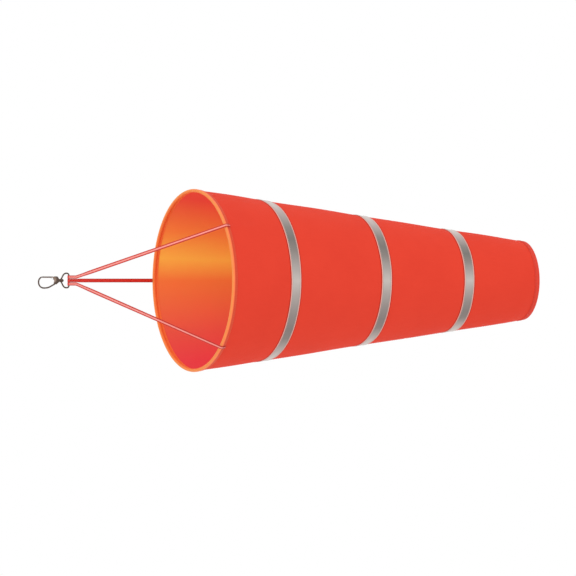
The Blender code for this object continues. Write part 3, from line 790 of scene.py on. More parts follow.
def stitches(name, centres, along, up, length=STITCH):
    """Many stitches as one mesh; centres, along and up are arrays of points and directions."""
    template, caps, sides = stitch_template()
    side = np.cross(along, up)
    half = np.array([length / 2, THREAD, THREAD])
    local = template * half
    points = (
        centres[:, None, :]
        + local[None, :, 0:1] * along[:, None, :]
        + local[None, :, 1:2] * up[:, None, :]
        + local[None, :, 2:3] * side[:, None, :]
    ).reshape(-1, 3)
    start = (np.arange(len(centres)) * len(template))[:, None, None]
    faces = (start + caps).reshape(-1, 3).tolist() + (start + sides).reshape(-1, 4).tolist()
    mesh = bpy.data.meshes.new(name)
    mesh.from_pydata(points.tolist(), [], faces)
    mesh.shade_smooth()
    print(f"{name}: {len(centres)} stitches")
    return place_object(name, mesh)


def outwards(turn):
    """Directions away from the sleeve's axis: (0, -cos, sin)."""
    return np.stack([0 * turn, -np.cos(turn), np.sin(turn)], axis=-1)


def ring_rows(places, lift):
    """Centres and directions of stitches in rings round the sleeve, one ring for each place."""
    centres, along, up = [], [], []
    for x in places:
        count = round(2 * math.pi * cone_radius(x) / STITCH_STEP)
        turn = np.arange(count) * 2 * math.pi / count
        centres.append(on_sleeve(np.full(count, x), turn, lift))
        along.append(np.stack([0 * turn, np.sin(turn), np.cos(turn)], axis=-1))
        up.append(outwards(turn))
    return np.vstack(centres), np.vstack(along), np.vstack(up)


def seam_rows(x0, x1):
    """Two straight rows along the lengthwise seam, out of the way of the bands."""
    x = np.arange(x0 + STITCH_STEP, x1 - STITCH_STEP, STITCH_STEP)
    clear = (x > HEM_REAR_X + ROW_CLEAR) & (x < TAIL_HEM_X - ROW_CLEAR)
    for low, high in BANDS:
        clear &= (x < low - ROW_CLEAR) | (x > high + ROW_CLEAR)
    x = np.tile(x[clear], 2)
    side = np.repeat([-1.0, 1.0], len(x) // 2)
    turn = SEAM_TURN + side * (SEAM_HALF - SEAM_INSET) / cone_radius(x)
    up = outwards(turn)
    along = math.cos(HALF_OPENING) * np.array([1.0, 0.0, 0.0]) - math.sin(HALF_OPENING) * up
    return on_sleeve(x, turn), along, up


def thread_finish(name, colour):
    """Sewing thread: a fine, uneven run of light and dark."""
    finish, tree, shader = start_finish(name, roughness=0.5, level=0.4)
    coordinates = tree.nodes.new("ShaderNodeTexCoord")
    tone = use(tree, MOTTLE, coordinates.outputs["Object"], Scale=1500.0)
    share = scaled_by(tree, tone.outputs[0], 0.3, 0.3)
    dark = tuple(0.55 * c for c in colour)
    tree.links.new(blend_colour(tree, share, colour, dark), shader.inputs["Base Color"])
    return finish


RED_THREAD = thread_finish("red thread", srgb(205, 52, 42))
GREY_THREAD = thread_finish("grey thread", srgb(190, 182, 175))
ORANGE_THREAD = thread_finish("orange thread", srgb(232, 112, 62))

# %% Stitches along the lengthwise seam
seam_stitches = []
for which, (low, high) in enumerate(PANELS):
    row = stitches(f"seam_stitches_{which + 1}", *seam_rows(low, high))
    settle(row, RED_THREAD, which, "sleeve_cloth")
    seam_stitches.append(row)

# %% [markdown]
# ## Seam tape
#
# Inside the sleeve a narrow tape covers the seam's raw edges. It is cut into the same three runs as
# the cloth's panels, a thread's thickness below its inner face.

# %% Seam tape
SEAM_TAPE = 0.0080
SEAM_TAPE_THICK = 0.0006
SEAM_MARGIN = 0.030
TAPE_STANDS_FOR = [["seam_tape_1"], ["seam_tape_2"], ["seam_tape_3", "seam_tape_4"]]


def rounded_strip(half_width, low, high, points=6):
    """Closed outline (side, lift) of a flat strip with rounded edges, counted clockwise."""
    middle, r = (low + high) / 2, (high - low) / 2
    spin = np.linspace(-math.pi / 2, math.pi / 2, points)
    right = np.stack([half_width - r + r * np.cos(spin), middle + r * np.sin(spin)], axis=-1)
    return np.vstack([right, right[::-1] * (-1, 1)])


def closed_ends(count):
    """Row numbers with the first and last row doubled, and a scale that shrinks those two to 0."""
    rows = np.concatenate([[0], np.arange(count), [count - 1]])
    scale = np.ones(count + 2)
    scale[[0, -1]] = 0.0
    return rows, scale


def strip_along(name, x0, x1, lift0, lift1, half_width):
    """A flat strip that runs the length of the sleeve at the seam, with welded ends."""
    even = np.linspace(x0, x1, max(2, round((x1 - x0) / ROW)))
    rows, pinch = closed_ends(len(even))
    x, middle = even[rows], (lift0 + lift1) / 2
    outline = rounded_strip(half_width, lift0, lift1)
    side = outline[:, 0][None, :] * pinch[:, None]
    lift = middle + (outline[:, 1] - middle)[None, :] * pinch[:, None]
    turn = SEAM_TURN + side / cone_radius(x)[:, None]
    points = on_sleeve(x[:, None], turn, lift - seam_ridge(x[:, None], turn))
    across = np.append(outline[:, 0], outline[0, 0])
    return surface(name, points, around=True, uv=grid_uv(across[None, :], x[:, None]))


def tape_finish():
    """Plain red tape with a fine weave."""
    finish, tree, shader = start_finish("seam tape", roughness=0.7, level=0.25)
    place = pattern_place(tree)
    weave = use(tree, WEAVE, place, Pitch=0.0009)
    shade = scaled_by(tree, weave.outputs["Slub"], 0.7)
    tree.links.new(blend_colour(tree, shade, CLOTH_RED, CLOTH_DEEP), shader.inputs["Base Color"])
    bump(tree, shader, weave.outputs["Height"], 0.00015)
    return finish


SEAM_TAPE_FINISH = tape_finish()
top = -CLOTH - AIR
seam_tapes = []
for which, ((low, high), nodes) in enumerate(zip(PANELS, TAPE_STANDS_FOR)):
    front = low + (SEAM_MARGIN if which == 0 else AIR)
    rear = high - (SEAM_MARGIN if which == 2 else AIR)
    name = f"seam_tape_run_{which + 1}"
    tape = strip_along(name, front, rear, top - SEAM_TAPE_THICK, top, SEAM_TAPE / 2)
    settle(tape, SEAM_TAPE_FINISH, which, "sleeve_cloth", *nodes)
    seam_tapes.append(tape)
    report(tape)

# %% [markdown]
# ## Reflective bands
#
# Silver tape with glass beads, sewn round the sleeve along both of its edges. Its grey carries a
# painted reflection by height round the sleeve: bright at the flank, the top and the bottom, and
# dark between. Each edge shows a pale pink line.

# %% Reflective tape finish
TAPE_PAINTED_REFLECTION = [  # height round the sleeve from -1 to 1, and the tape's grey with its painted reflection there
    (-1.00, srgb(214, 200, 194)),
    (-0.86, srgb(174, 161, 156)),
    (-0.72, srgb(130, 121, 116)),
    (-0.60, srgb(126, 118, 114)),
    (-0.42, srgb(143, 133, 129)),
    (-0.20, srgb(168, 158, 153)),
    (0.00, srgb(193, 185, 179)),
    (0.20, srgb(164, 155, 151)),
    (0.38, srgb(134, 125, 120)),
    (0.52, srgb(116, 111, 106)),
    (0.66, srgb(132, 125, 120)),
    (0.84, srgb(178, 163, 159)),
    (1.00, srgb(214, 201, 195)),
]
EDGE_PINK = srgb(230, 172, 160)
SCUFFED = srgb(120, 112, 108)
EDGE_PINK_WIDTH = 0.0030
BEADS = 2600.0  # beads to a metre
BAND_WIDTH = BANDS[0][1] - BANDS[0][0]


def reflective_finish():
    """Grey bead tape: painted reflection by height, pale pink edges, and a fine sparkle of beads."""
    finish, tree, shader = start_finish("reflective tape", roughness=0.42, level=0.4)
    shader.inputs["Metallic"].default_value = 0.25
    place = pattern_place(tree)
    # painted reflection: the grey is a ramp by height round the sleeve
    grey = ramp(tree, mark_value(tree, "height"), TAPE_PAINTED_REFLECTION)
    middle, pink_width = BAND_WIDTH / 2, EDGE_PINK_WIDTH
    away = math_node(tree, "SUBTRACT", across_of(tree, place), middle)
    away = math_node(tree, "ABSOLUTE", away)
    edge = between(tree, away, middle - pink_width, middle - pink_width / 3)
    beads = add(tree, "ShaderNodeTexVoronoi", Scale=BEADS)
    tree.links.new(place, beads.inputs["Vector"])
    scuff = use(tree, MOTTLE, place, Scale=40.0)
    colour = blend_colour(tree, edge, grey, EDGE_PINK)
    dull = scaled_by(tree, scuff.outputs[0], 0.05, 0.05)
    tree.links.new(blend_colour(tree, dull, colour, SCUFFED), shader.inputs["Base Color"])
    rough = scaled_by(tree, beads.outputs["Distance"], 0.25, 0.32)
    tree.links.new(rough, shader.inputs["Roughness"])
    bump(tree, shader, beads.outputs["Distance"], 0.00006)
    return finish


REFLECTIVE = reflective_finish()

# %% Wrap a section round the sleeve


def wrap(name, outline, uv_across, columns=480, on_cloth=True):
    """Carry a closed outline of (x, lift) round the sleeve.

    Off the cloth, the outline's second number is the radius itself.
    """
    turn = turns(columns)
    x, lift = outline[:, 0][:, None], outline[:, 1][:, None]
    if on_cloth:
        points = on_sleeve(x, turn[None, :-1], lift)
    else:
        axis_line = x[..., None] * (1.0, 0.0, 0.0)
        points = axis_line + lift[..., None] * outwards(turn[None, :-1])
    across = np.append(uv_across, uv_across[0])
    length = (turn - turn[0]) * cone_radius(outline[0, 0])
    uv = grid_uv(length[None, :], across[:, None])
    marks = {"height": np.sin(turn[None, :-1])}
    return surface(name, points, around=True, across=True, uv=uv, marks=marks)


def strip_section(x0, x1, low, high, steps=9):
    """Outline (x, lift) of a flat tape with rounded edges, and the distance from its front edge."""
    r = (high - low) / 2
    middle = (low + high) / 2
    spin = np.linspace(0.0, math.pi, 7)[1:-1]
    flat = np.linspace(x0 + r, x1 - r, steps)
    top = np.stack([flat, np.full(steps, high)], axis=-1)
    rear = np.stack([x1 - r + r * np.sin(spin), middle + r * np.cos(spin)], axis=-1)
    bottom = np.stack([flat[::-1], np.full(steps, low)], axis=-1)
    front = np.stack([x0 + r - r * np.sin(spin), middle - r * np.cos(spin)], axis=-1)
    outline = np.vstack([top, rear, bottom, front])
    return outline, outline[:, 0] - x0


# %% Build the bands and their stitches
ROW_INSET = 0.0036  # rows of stitches, from the tape's edges
BAND_UNDER, BAND_FACE = 0.0002, TAPE_LIFT - 0.0001  # lifts of the tape's two faces
bands, band_stitches = [], []
for which, (low, high) in enumerate(BANDS):
    outline, across = strip_section(low, high, BAND_UNDER, BAND_FACE)
    band = wrap(f"reflective_tape_{which + 1}", outline, across)
    settle(band, REFLECTIVE, which, "reflective_tape", f"reflective_band_{which + 1}")
    rows = ring_rows((low + ROW_INSET, high - ROW_INSET), BAND_FACE)
    row = stitches(f"band_stitches_{which + 1}", *rows)
    settle(row, GREY_THREAD, which, "reflective_tape")
    bands.append(band)
    band_stitches.append(row)
    report(band)

# %% [markdown]
# ## Rim
#
# The rim is bias tape folded over the sprung hoop. Its section is one closed outline: down the
# outer leg, round the hoop, along the inner leg, and back on the side that faces the hoop and the
# cloth. The legs leave the hoop along lines that just touch it. Its orange carries painted shade and
# a painted highlight: deepest at the outer leg's edge, a bright painted highlight just in front of
# that, and a little deeper again on the inside, with a weak painted glow over all.

# %% Rim section
hoop_low, hoop_high = corners("mouth_hoop")
HOOP_WIRE = 0.0015  # radius
HOOP_RADIUS = (hoop_high[2] - hoop_low[2]) / 2 - HOOP_WIRE
HOOP_X = (hoop_low[0] + hoop_high[0]) / 2
HOOP_ROOM = 0.0026  # inside radius of the channel round the hoop
RIM_TAPE = 0.0011
RIM_LAP_X = MOUTH_X + 0.0085
LEG_THICK = 0.0010


def touch_angle(radius, point, side):
    """Angle where a line from a point (x, r) outside touches a circle round the hoop's centre."""
    dx, dr = point[0] - HOOP_X, point[1] - HOOP_RADIUS
    return math.atan2(dx, dr) + side * math.acos(radius / math.hypot(dx, dr))


def rim_section():
    """Closed outline (x, r): outer face from rear to front and in, then back along the inner side."""
    faces = []
    for lift, radius in ((0.0, HOOP_ROOM + RIM_TAPE), (LEG_THICK, HOOP_ROOM)):
        above, below = TAPE_LIFT + AIR - lift, lift - TAPE_LIFT - AIR - LEG_THICK
        over = np.array([HEM_REAR_X, cone_radius(HEM_REAR_X) + above])
        lap = np.array([RIM_LAP_X, cone_radius(RIM_LAP_X) + below])
        end = np.array([HEM_REAR_X, cone_radius(HEM_REAR_X) + below])
        first = touch_angle(radius, over, -1)
        last = touch_angle(radius, lap, 1) - 2 * math.pi
        turn = np.linspace(first, last, 26)
        bow = radius * np.stack([np.sin(turn), np.cos(turn)], axis=-1)
        bow += (HOOP_X, HOOP_RADIUS)
        leg = over + (bow[0] - over) * np.linspace(0.0, 1.0, 8)[:-1, None]
        inner = bow[-1] + (lap - bow[-1]) * np.linspace(0.0, 1.0, 4)[1:, None]
        faces.append(np.vstack([leg, bow, inner, end[None]]))
    outside, inside = faces
    return np.vstack([outside, inside[::-1]]), len(outside)


RIM_OUTLINE, RIM_FACE = rim_section()
RIM_STEPS = np.linalg.norm(np.diff(RIM_OUTLINE[:RIM_FACE], axis=0), axis=1)
RIM_ACROSS = np.concatenate([[0.0], np.cumsum(RIM_STEPS)])
print(f"tape over the rim is {RIM_ACROSS[-1] * 1000:.1f} mm wide")
RIM_ACROSS = np.concatenate([RIM_ACROSS, RIM_ACROSS[::-1]])

# %% Rim finish
RIM_PAINTED_LIGHT = [  # distance from the outer leg's edge in mm, and the colour there, with painted shade and highlight
    (0.0, srgb(206, 64, 40)),
    (6.2, srgb(208, 66, 38)),
    (7.8, srgb(240, 120, 68)),
    (10.0, srgb(246, 130, 74)),
    (12.5, srgb(228, 140, 70)),
    (15.0, srgb(234, 134, 62)),
    (19.0, srgb(234, 116, 56)),
    (30.0, srgb(236, 114, 56)),
]
RIM_RAMP_END = 0.030
RIM_SHADE = srgb(200, 84, 40)
RIM_PAINTED_GLOW = 0.10


def rim_finish():
    """Orange bias tape: a fine weave, with painted shade and highlight across its width and a weak
    painted glow.
    """
    finish, tree, shader = start_finish("orange binding", roughness=0.6, level=0.25)
    place = pattern_place(tree)
    share = scaled_by(tree, across_of(tree, place), 2.0 / RIM_RAMP_END, -1.0)
    stops = [(mm / 1000 / RIM_RAMP_END * 2 - 1, colour) for mm, colour in RIM_PAINTED_LIGHT]
    # painted highlight and shade: the colour changes across the tape's width
    colour = ramp(tree, share, stops)
    weave = use(tree, WEAVE, place, Pitch=0.0010)
    dye = use(tree, MOTTLE, place, Scale=60.0)
    uneven = math_node(tree, "ADD", dye.outputs[0], weave.outputs["Slub"])
    shaded = blend_colour(tree, scaled_by(tree, uneven, 0.12), colour, RIM_SHADE)
    tree.links.new(shaded, shader.inputs["Base Color"])
    # painted glow: the same colours are given out as a weak light
    tree.links.new(colour, shader.inputs["Emission Color"])
    shader.inputs["Emission Strength"].default_value = RIM_PAINTED_GLOW
    bump(tree, shader, weave.outputs["Height"], 0.00016)
    return finish


# %% Build the rim
HEM_INSET = 0.0022  # the row of stitches, from the binding's edge
rim = wrap("rim_binding", RIM_OUTLINE, RIM_ACROSS, columns=600, on_cloth=False)
settle(rim, rim_finish(), "mouth", "orange_binding", "mouth_binding")
report(rim)
rim_stitches = stitches("rim_stitches", *ring_rows((HEM_REAR_X - HEM_INSET,), TAPE_LIFT + AIR))
settle(rim_stitches, ORANGE_THREAD, "mouth", "orange_binding")

# %% [markdown]
# ## Tail
#
# The tail's raw edge is closed by a narrow tape folded over it and sewn down once.

# %% Tail binding
TAIL_TAPE = 0.0007
TAIL_GAP = 0.0001


def tail_section():
    """Closed outline (x, lift) of a tape folded over the cloth's edge, with a round nose."""
    outer, inner = TAIL_GAP + TAIL_TAPE, -CLOTH - TAIL_GAP - TAIL_TAPE
    middle, r = (outer + inner) / 2, (outer - inner) / 2
    spin = np.linspace(0.0, math.pi, 9)[1:-1]
    nose_x = TAIL_X - r
    leg = np.linspace(TAIL_HEM_X, nose_x, 6)
    outside = np.stack([leg, np.full(6, outer)], axis=-1)
    nose = np.stack([nose_x + r * np.sin(spin), middle + r * np.cos(spin)], axis=-1)
    under = np.stack([leg[::-1], np.full(6, inner)], axis=-1)
    web, floor_lift = TAIL_X - TAIL_TAPE - TAIL_GAP, -CLOTH - TAIL_GAP
    pocket = [(TAIL_HEM_X, floor_lift), (web, floor_lift), (web, TAIL_GAP), (TAIL_HEM_X, TAIL_GAP)]
    return np.vstack([outside, nose, under, pocket])


tail_outline = tail_section()
tail_hem = wrap("tail_hem", tail_outline, tail_outline[:, 0] - TAIL_HEM_X, columns=384)
settle(tail_hem, SEAM_TAPE_FINISH, "tail", "sleeve_cloth", "tail_binding")
tail_rows = ring_rows((TAIL_HEM_X + HEM_INSET,), TAIL_GAP + TAIL_TAPE)
tail_stitches = stitches("tail_stitches", *tail_rows)
settle(tail_stitches, RED_THREAD, "tail", "sleeve_cloth")
report(tail_hem)

# %% [markdown]
# ## Straps
#
# Each strap is flat webbing: it is folded round the eye's bar and sewn to itself, runs straight to
# the rim while it twists to lie along it, goes over the hoop and is sewn down behind. Its centre
# line is worked out the same way as the working solid's, then resampled evenly and softened, so
# the folds are round. A rounded section is then carried along it.

# %% Route of a strap
STRAP_WIDTH = 0.0082
STRAP_THICK = 0.0011
BAR_WIDTH = 0.0070  # the straps are squeezed to this on the bar
STRAP_PITCH = 0.0075
STRAP_SLOTS = {"upper": 1, "far": 0, "lower": -1}
BAR = np.array(joints["harness_pivot"])
BAR_LOOP = 0.00265  # from the bar's centre to the webbing's
FOLD = 0.016  # of webbing turned back and sewn down at the bar
SHOULDER = 0.007  # where its two plies part to go round the bar
LAND = 0.008  # sewn down behind the rim
OVER_RIM = 0.0046  # from the hoop's centre to the webbing's
UP = np.array([0.0, 0.0, 1.0])
CLOSE = 0.0005  # between points at the two ends of a route
BAR_END, RIM_END = 0.055, 0.030  # lengths of those ends


def unit(v):
    """Vectors scaled to length 1."""
    return v / np.linalg.norm(v, axis=-1, keepdims=True)


def strap_stations(angle, place):
    """Corner points and width directions of a strap, from its folded end to behind the rim."""
    turn = math.radians(angle)
    radial = np.array([0.0, -math.cos(turn), math.sin(turn)])
    around = np.array([0.0, math.sin(turn), math.cos(turn)])
    around = -around if around[2] < 0 else around
    bar = BAR + UP * place * STRAP_PITCH
    aim = np.array([HOOP_X, 0.0, 0.0]) + radial * (HOOP_RADIUS + OVER_RIM)
    forward = unit((aim - bar) * (1.0, 1.0, 0.0))
    side = np.cross(UP, forward)
    side = -side if side @ radial < 0 else side
    ply = (STRAP_THICK + AIR) / 2
    spin = np.radians(np.linspace(-55.0, -305.0, 26))
    loop = np.stack([BAR_LOOP * np.cos(spin), BAR_LOOP * np.sin(spin)], axis=-1)
    flat = np.vstack([[(FOLD, -ply), (SHOULDER, -ply)], loop, [(SHOULDER, ply), (FOLD, ply)]])
    near_bar = bar + flat[:, :1] * forward + flat[:, 1:] * side
    start = near_bar[-1]
    rise = math.atan2((aim - start) @ radial, aim[0] - start[0])
    tilt = math.pi / 2 + np.linspace(rise, -HALF_OPENING, 14)
    over = OVER_RIM * np.stack([np.cos(tilt), np.sin(tilt)], axis=-1) + (HOOP_X, HOOP_RADIUS)
    down_cone = np.array([math.cos(HALF_OPENING), -math.sin(HALF_OPENING)])
    over = np.vstack([over, over[-1] + LAND * down_cone])
    at_rim = over[:, :1] * (1.0, 0.0, 0.0) + over[:, 1:] * radial
    share = np.linspace(0.0, 1.0, 42)[1:-1, None]
    run = start + (at_rim[0] - start) * share
    centres = np.vstack([near_bar, run, at_rim])
    first = np.tile(UP, (len(near_bar), 1))
    last = np.tile(around, (len(at_rim), 1))
    widths = np.vstack([first, UP + (around - UP) * share, last])
    return centres, unit(widths), radial


def resampled(centres, widths):
    """The same route with close points at both ends and wide ones between, softened."""
    step = np.linalg.norm(np.diff(centres, axis=0), axis=1)
    s = np.concatenate([[0.0], np.cumsum(step)])
    rim_start = s[-1] - RIM_END
    at_bar = np.arange(0.0, BAR_END, CLOSE)
    between_ends = np.linspace(BAR_END, rim_start, 56)[:-1]
    at = np.concatenate([at_bar, between_ends, np.arange(rim_start, s[-1], CLOSE), [s[-1]]])
    both = np.hstack([centres, widths])
    both = np.stack([np.interp(at, s, column) for column in both.T], axis=-1)
    for _ in range(5):
        both[1:-1] = (both[:-2] + 2 * both[1:-1] + both[2:]) / 4
    return both[:, :3], unit(both[:, 3:]), at


# %% Build the straps
NARROW_END, NARROW_EASE = 0.050, 0.030  # where a strap begins to widen, and over what length


def strap_outline(points=10):
    """Closed section (side, lift) from -1 to 1: nearly a rectangle, |a|^n + |b|^n = 1 with n = 6."""
    spin = np.linspace(0.0, 2 * math.pi, 4 * points, endpoint=False)
    power = 2.0 / 6.0
    side = np.sign(np.cos(spin)) * np.abs(np.cos(spin)) ** power
    lift = np.sign(np.sin(spin)) * np.abs(np.sin(spin)) ** power
    return side, lift


def carried(outline, centres, across, out):
    """centre + side x across + lift x out for every row, with both ends shrunk to a point."""
    side, lift = (part[None, :, None] for part in outline)
    rows, scale = closed_ends(len(centres))
    offset = side * across[rows][:, None, :] + lift * out[rows][:, None, :]
    return centres[rows][:, None, :] + offset * scale[:, None, None]


def make_strap(name, angle, place):
    """Webbing along its route; the section's lift points away from the sleeve's axis."""
    centres, widths, radial = strap_stations(angle, place)
    centres, widths, at = resampled(centres, widths)
    ahead = unit(np.gradient(centres, axis=0))
    across = unit(widths - ahead * np.einsum("ij,ij->i", widths, ahead)[:, None])
    out = np.cross(ahead, across)
    middle = len(out) * 2 // 3
    out = -out if out[middle] @ radial < 0 else out
    wide = BAR_WIDTH + (STRAP_WIDTH - BAR_WIDTH) * ease((at - NARROW_END) / NARROW_EASE)
    outline = strap_outline()
    points = carried(outline, centres, across * wide[:, None] / 2, out * STRAP_THICK / 2)
    rows, _ = closed_ends(len(at))
    share = np.append(outline[0], outline[0][0])
    uv = grid_uv(share[None, :] * STRAP_WIDTH / 2, at[rows][:, None])
    run = ease((at[rows] - FOLD - math.pi * BAR_LOOP) / 0.001)[:, None]
    strap = surface(name, points, around=True, uv=uv, marks={"outer": outline[1][None, :] * run})
    return strap, (centres, across, out, at)


# %% Webbing finish
WEB_RED = srgb(226, 56, 48)
WEB_DYE_AND_EDGE_SHADE = srgb(174, 46, 36)
WEB_HIGHLIGHT = srgb(246, 160, 150)
HIGHLIGHT_HALF = 0.0015


def webbing_finish():
    """Woven webbing; painted shade darkens it towards its edges, and a painted highlight stripe lies
    only on the outer face, from the bar to the rim.
    """
    finish, tree, shader = start_finish("strap webbing", roughness=0.55, level=0.3)
    place = pattern_place(tree)
    aside = math_node(tree, "ABSOLUTE", across_of(tree, place, number=0))
    # painted shade: darker from the middle of the webbing towards both edges
    edge = between(tree, aside, HIGHLIGHT_HALF, STRAP_WIDTH / 2)
    weave = use(tree, WEAVE, place, Pitch=0.0012)
    dye = use(tree, MOTTLE, place, Scale=120.0)
    red = blend_colour(tree, edge, WEB_RED, WEB_DYE_AND_EDGE_SHADE)
    # painted highlight: a pale stripe down the middle of the outer face
    inside = math_node(tree, "LESS_THAN", aside, HIGHLIGHT_HALF)
    face = math_node(tree, "GREATER_THAN", mark_value(tree, "outer"), 0.2)
    red = blend_colour(tree, math_node(tree, "MULTIPLY", inside, face), red, WEB_HIGHLIGHT)
    uneven = math_node(tree, "ADD", dye.outputs[0], weave.outputs["Slub"])
    shaded = blend_colour(tree, scaled_by(tree, uneven, 0.15), red, WEB_DYE_AND_EDGE_SHADE)
    tree.links.new(shaded, shader.inputs["Base Color"])
    bump(tree, shader, weave.outputs["Height"], 0.00022)
    return finish


WEBBING = webbing_finish()
WEB_THREAD = thread_finish("strap thread", srgb(170, 34, 30))

# %% Lay the straps and their bar tacks
BAR_TACKS = np.array([0.0022, 0.0040, 0.0058, 0.0076])  # from the folded end
RIM_TACKS = np.array([0.0015, 0.0035, 0.0055])  # from the end behind the rim
TACK_STITCH = 0.0013


def cross_rows(route, starts, face, reach):
    """Rows of stitches across a strap at given lengths along it, on one face."""
    centres, across, out, at = route
    side = np.linspace(-reach, reach, 5)
    k = np.searchsorted(at, np.repeat(starts, len(side)))
    offset = np.tile(side, len(starts))
    place = centres[k] + across[k] * offset[:, None] + out[k] * face * STRAP_THICK / 2
    return place, across[k], out[k] * face


for side_name, angle in STRAP_ANGLES.items():
    strap, route = make_strap(f"harness_webbing_{side_name}", angle, STRAP_SLOTS[side_name])
    settle(strap, WEBBING, "mouth", "strap_webbing", f"harness_strap_{side_name}")
    total = route[3][-1]
    bar_side = cross_rows(route, BAR_TACKS, -1, 0.0026)
    rim_side = cross_rows(route, total - RIM_TACKS, 1, 0.0030)
    places = [np.vstack(pair) for pair in zip(bar_side, rim_side)]
    tack = stitches(f"strap_stitches_{side_name}", *places, length=TACK_STITCH)
    settle(tack, WEB_THREAD, "mouth", "strap_webbing")
    print(f"{strap.name}: {total * 1000:.0f} mm of webbing")
    report(strap)

# %% [markdown]
# ## Castings
#
# The hook, its gate and the eye are small castings in dark bronze. Their working solids are
# faceted, so each is welded, skinned again with an even grid of fine quads and softened by some
# twenty rounds of smoothing. That rounds every edge and lets the wire flow into the head as cast metal
# does. The amount that each point stands out of its neighbours is kept as a mark, and the finish
# bares the metal there.

# %% Re-skin a working solid
EDGE_FROM, EDGE_SPAN = 0.05, 0.10  # how far an edge stands out, in grains


def standing_out(mesh):
    """How far each point stands out: minus the normal part of the mean step to its neighbours."""
    count = len(mesh.vertices)
    place, normal = np.empty((count, 3)), np.empty((count, 3))
    mesh.vertices.foreach_get("co", place.reshape(-1))
    mesh.vertices.foreach_get("normal", normal.reshape(-1))
    edges = np.empty(len(mesh.edges) * 2, np.int32)
    mesh.edges.foreach_get("vertices", edges)
    a, b = edges.reshape(-1, 2).T
    total, near = np.zeros((count, 3)), np.zeros(count)
    for here, there in ((a, b), (b, a)):
        np.add.at(total, here, place[there] - place[here])
        np.add.at(near, here, 1.0)
    step = total / near[:, None]
    return -np.einsum("ij,ij->i", step, normal)


def casting(name, node, grain, rounds):
    """A welded copy of a working solid, skinned with quads of size grain and smoothed."""
    mesh = frame["nodes"][node].data.copy()
    weld(mesh, near=2e-6)
    mesh.materials.clear()
    raw = place_object(name, mesh)
    skin = raw.modifiers.new("skin", "REMESH")
    skin.mode = "VOXEL"
    skin.voxel_size = grain
    soft = raw.modifiers.new("soften", "SMOOTH")
    soft.factor = 0.5
    soft.iterations = rounds
    bpy.context.view_layer.update()
    worked = raw.evaluated_get(bpy.context.evaluated_depsgraph_get())
    made = bpy.data.meshes.new_from_object(worked)
    raw.modifiers.clear()
    raw.data = made
    made.name = name
    edge = np.clip((standing_out(made) / grain - EDGE_FROM) / EDGE_SPAN, 0.0, 1.0)
    mark = made.attributes.new("edge", "FLOAT", "POINT")
    mark.data.foreach_set("value", edge.astype(np.float32))
    made.shade_smooth()
    report(raw)
    return raw


# %% Bronze finishes
THUMB = (0.0335, 0.0, 0.0020)  # where a thumb opens the gate
THUMB_REACH = (0.0045, 0.0090)
RUBBED = srgb(166, 144, 128)
RUBBED_SHARE = 0.85


def bronze_finish(name, dark, light, roughness):
    """Dark patina over bronze: uneven tone, bare edges, a rubbed patch, and the mould's skin."""
    finish, tree, shader = start_finish(name, roughness=roughness, metallic=0.85)
    place = tree.nodes.new("ShaderNodeTexCoord").outputs["Object"]
    patina = use(tree, MOTTLE, place, Scale=260.0)
    skin = use(tree, MOTTLE, place, Scale=1400.0)
    body = blend_colour(tree, scaled_by(tree, patina.outputs[0], 0.35, 0.35), dark, light)
    worn = use(tree, WEAR, place, Scale=700.0)
    tree.links.new(mark_value(tree, "edge"), worn.inputs["Edge"])
    near = add(tree, "ShaderNodeVectorMath", {"operation": "DISTANCE"})
    near.inputs[1].default_value = THUMB
    tree.links.new(place, near.inputs[0])
    patch = between(tree, near.outputs["Value"], *THUMB_REACH, RUBBED_SHARE, 0.0)
    body = blend_colour(tree, patch, body, RUBBED)
    bare = tuple(min(1.0, 1.9 * c) for c in light)
    tree.links.new(blend_colour(tree, worn.outputs[0], body, bare), shader.inputs["Base Color"])
    rough = scaled_by(tree, patina.outputs[0], 0.08, roughness)
    tree.links.new(rough, shader.inputs["Roughness"])
    bump(tree, shader, skin.outputs[0], 0.00003)
    return finish


BRONZE = bronze_finish("dark bronze", srgb(72, 58, 50), srgb(116, 100, 90), 0.36)
GATE_BRONZE = bronze_finish("brown gate", srgb(92, 74, 64), srgb(136, 116, 104), 0.34)

# %% Cast the hook, the gate and the eye
hook = casting("hook_casting", "hook_body", 0.00020, 24)
settle(hook, BRONZE, "hook", "dark_bronze", "hook_body")
gate = casting("gate_casting", "gate", 0.00016, 20)
settle(gate, GATE_BRONZE, "gate", "gate_metal", "gate")
eye = casting("eye_casting", "swivel_eye", 0.00020, 24)
settle(eye, BRONZE, "eye", "dark_bronze", "swivel_eye")

# %% [markdown]
# ## Turned pieces
#
# The swivel's rivet, its washer and the gate's pin are turned or headed from rod, so each is a
# profile spun round its own line: (along, r) becomes (along, r cos, r sin).

# %% Turn a profile
LATHE = 48


def turned(name, profile, centre, axis):
    """Spin a profile of (along, radius) round an axis; a closed end is a point of radius 0."""
    axis = unit(np.array(axis, float))
    first = unit(np.cross(axis, (0.3, 0.5, 0.8)))
    second = np.cross(axis, first)
    spin = np.arange(LATHE) * 2 * math.pi / LATHE
    ring = np.cos(spin)[:, None] * first + np.sin(spin)[:, None] * second
    along, radius = np.array(profile).T
    points = np.array(centre) + along[:, None, None] * axis + radius[:, None, None] * ring[None]
    closed = bool(radius[0] > 0)
    round_it = np.linspace(0.0, 1.0, LATHE + 1)[None, :]
    uv = grid_uv(round_it, np.arange(len(along) + closed)[:, None] * 0.001)
    piece = surface(name, points, around=True, across=closed, uv=uv)
    mark = piece.data.attributes.new("edge", "FLOAT", "POINT")
    mark.data.foreach_set("value", np.zeros(len(piece.data.vertices), np.float32))
    return piece


def dome(along, radius, height, steps=9):
    """Profile of a rounded head: a flattened quarter circle from its rim to its top."""
    spin = np.linspace(0.0, math.pi / 2, steps)[:-1]
    side = [(along + height * math.sin(a), radius * math.cos(a)) for a in spin]
    return side + [(along + height, 0.0)]


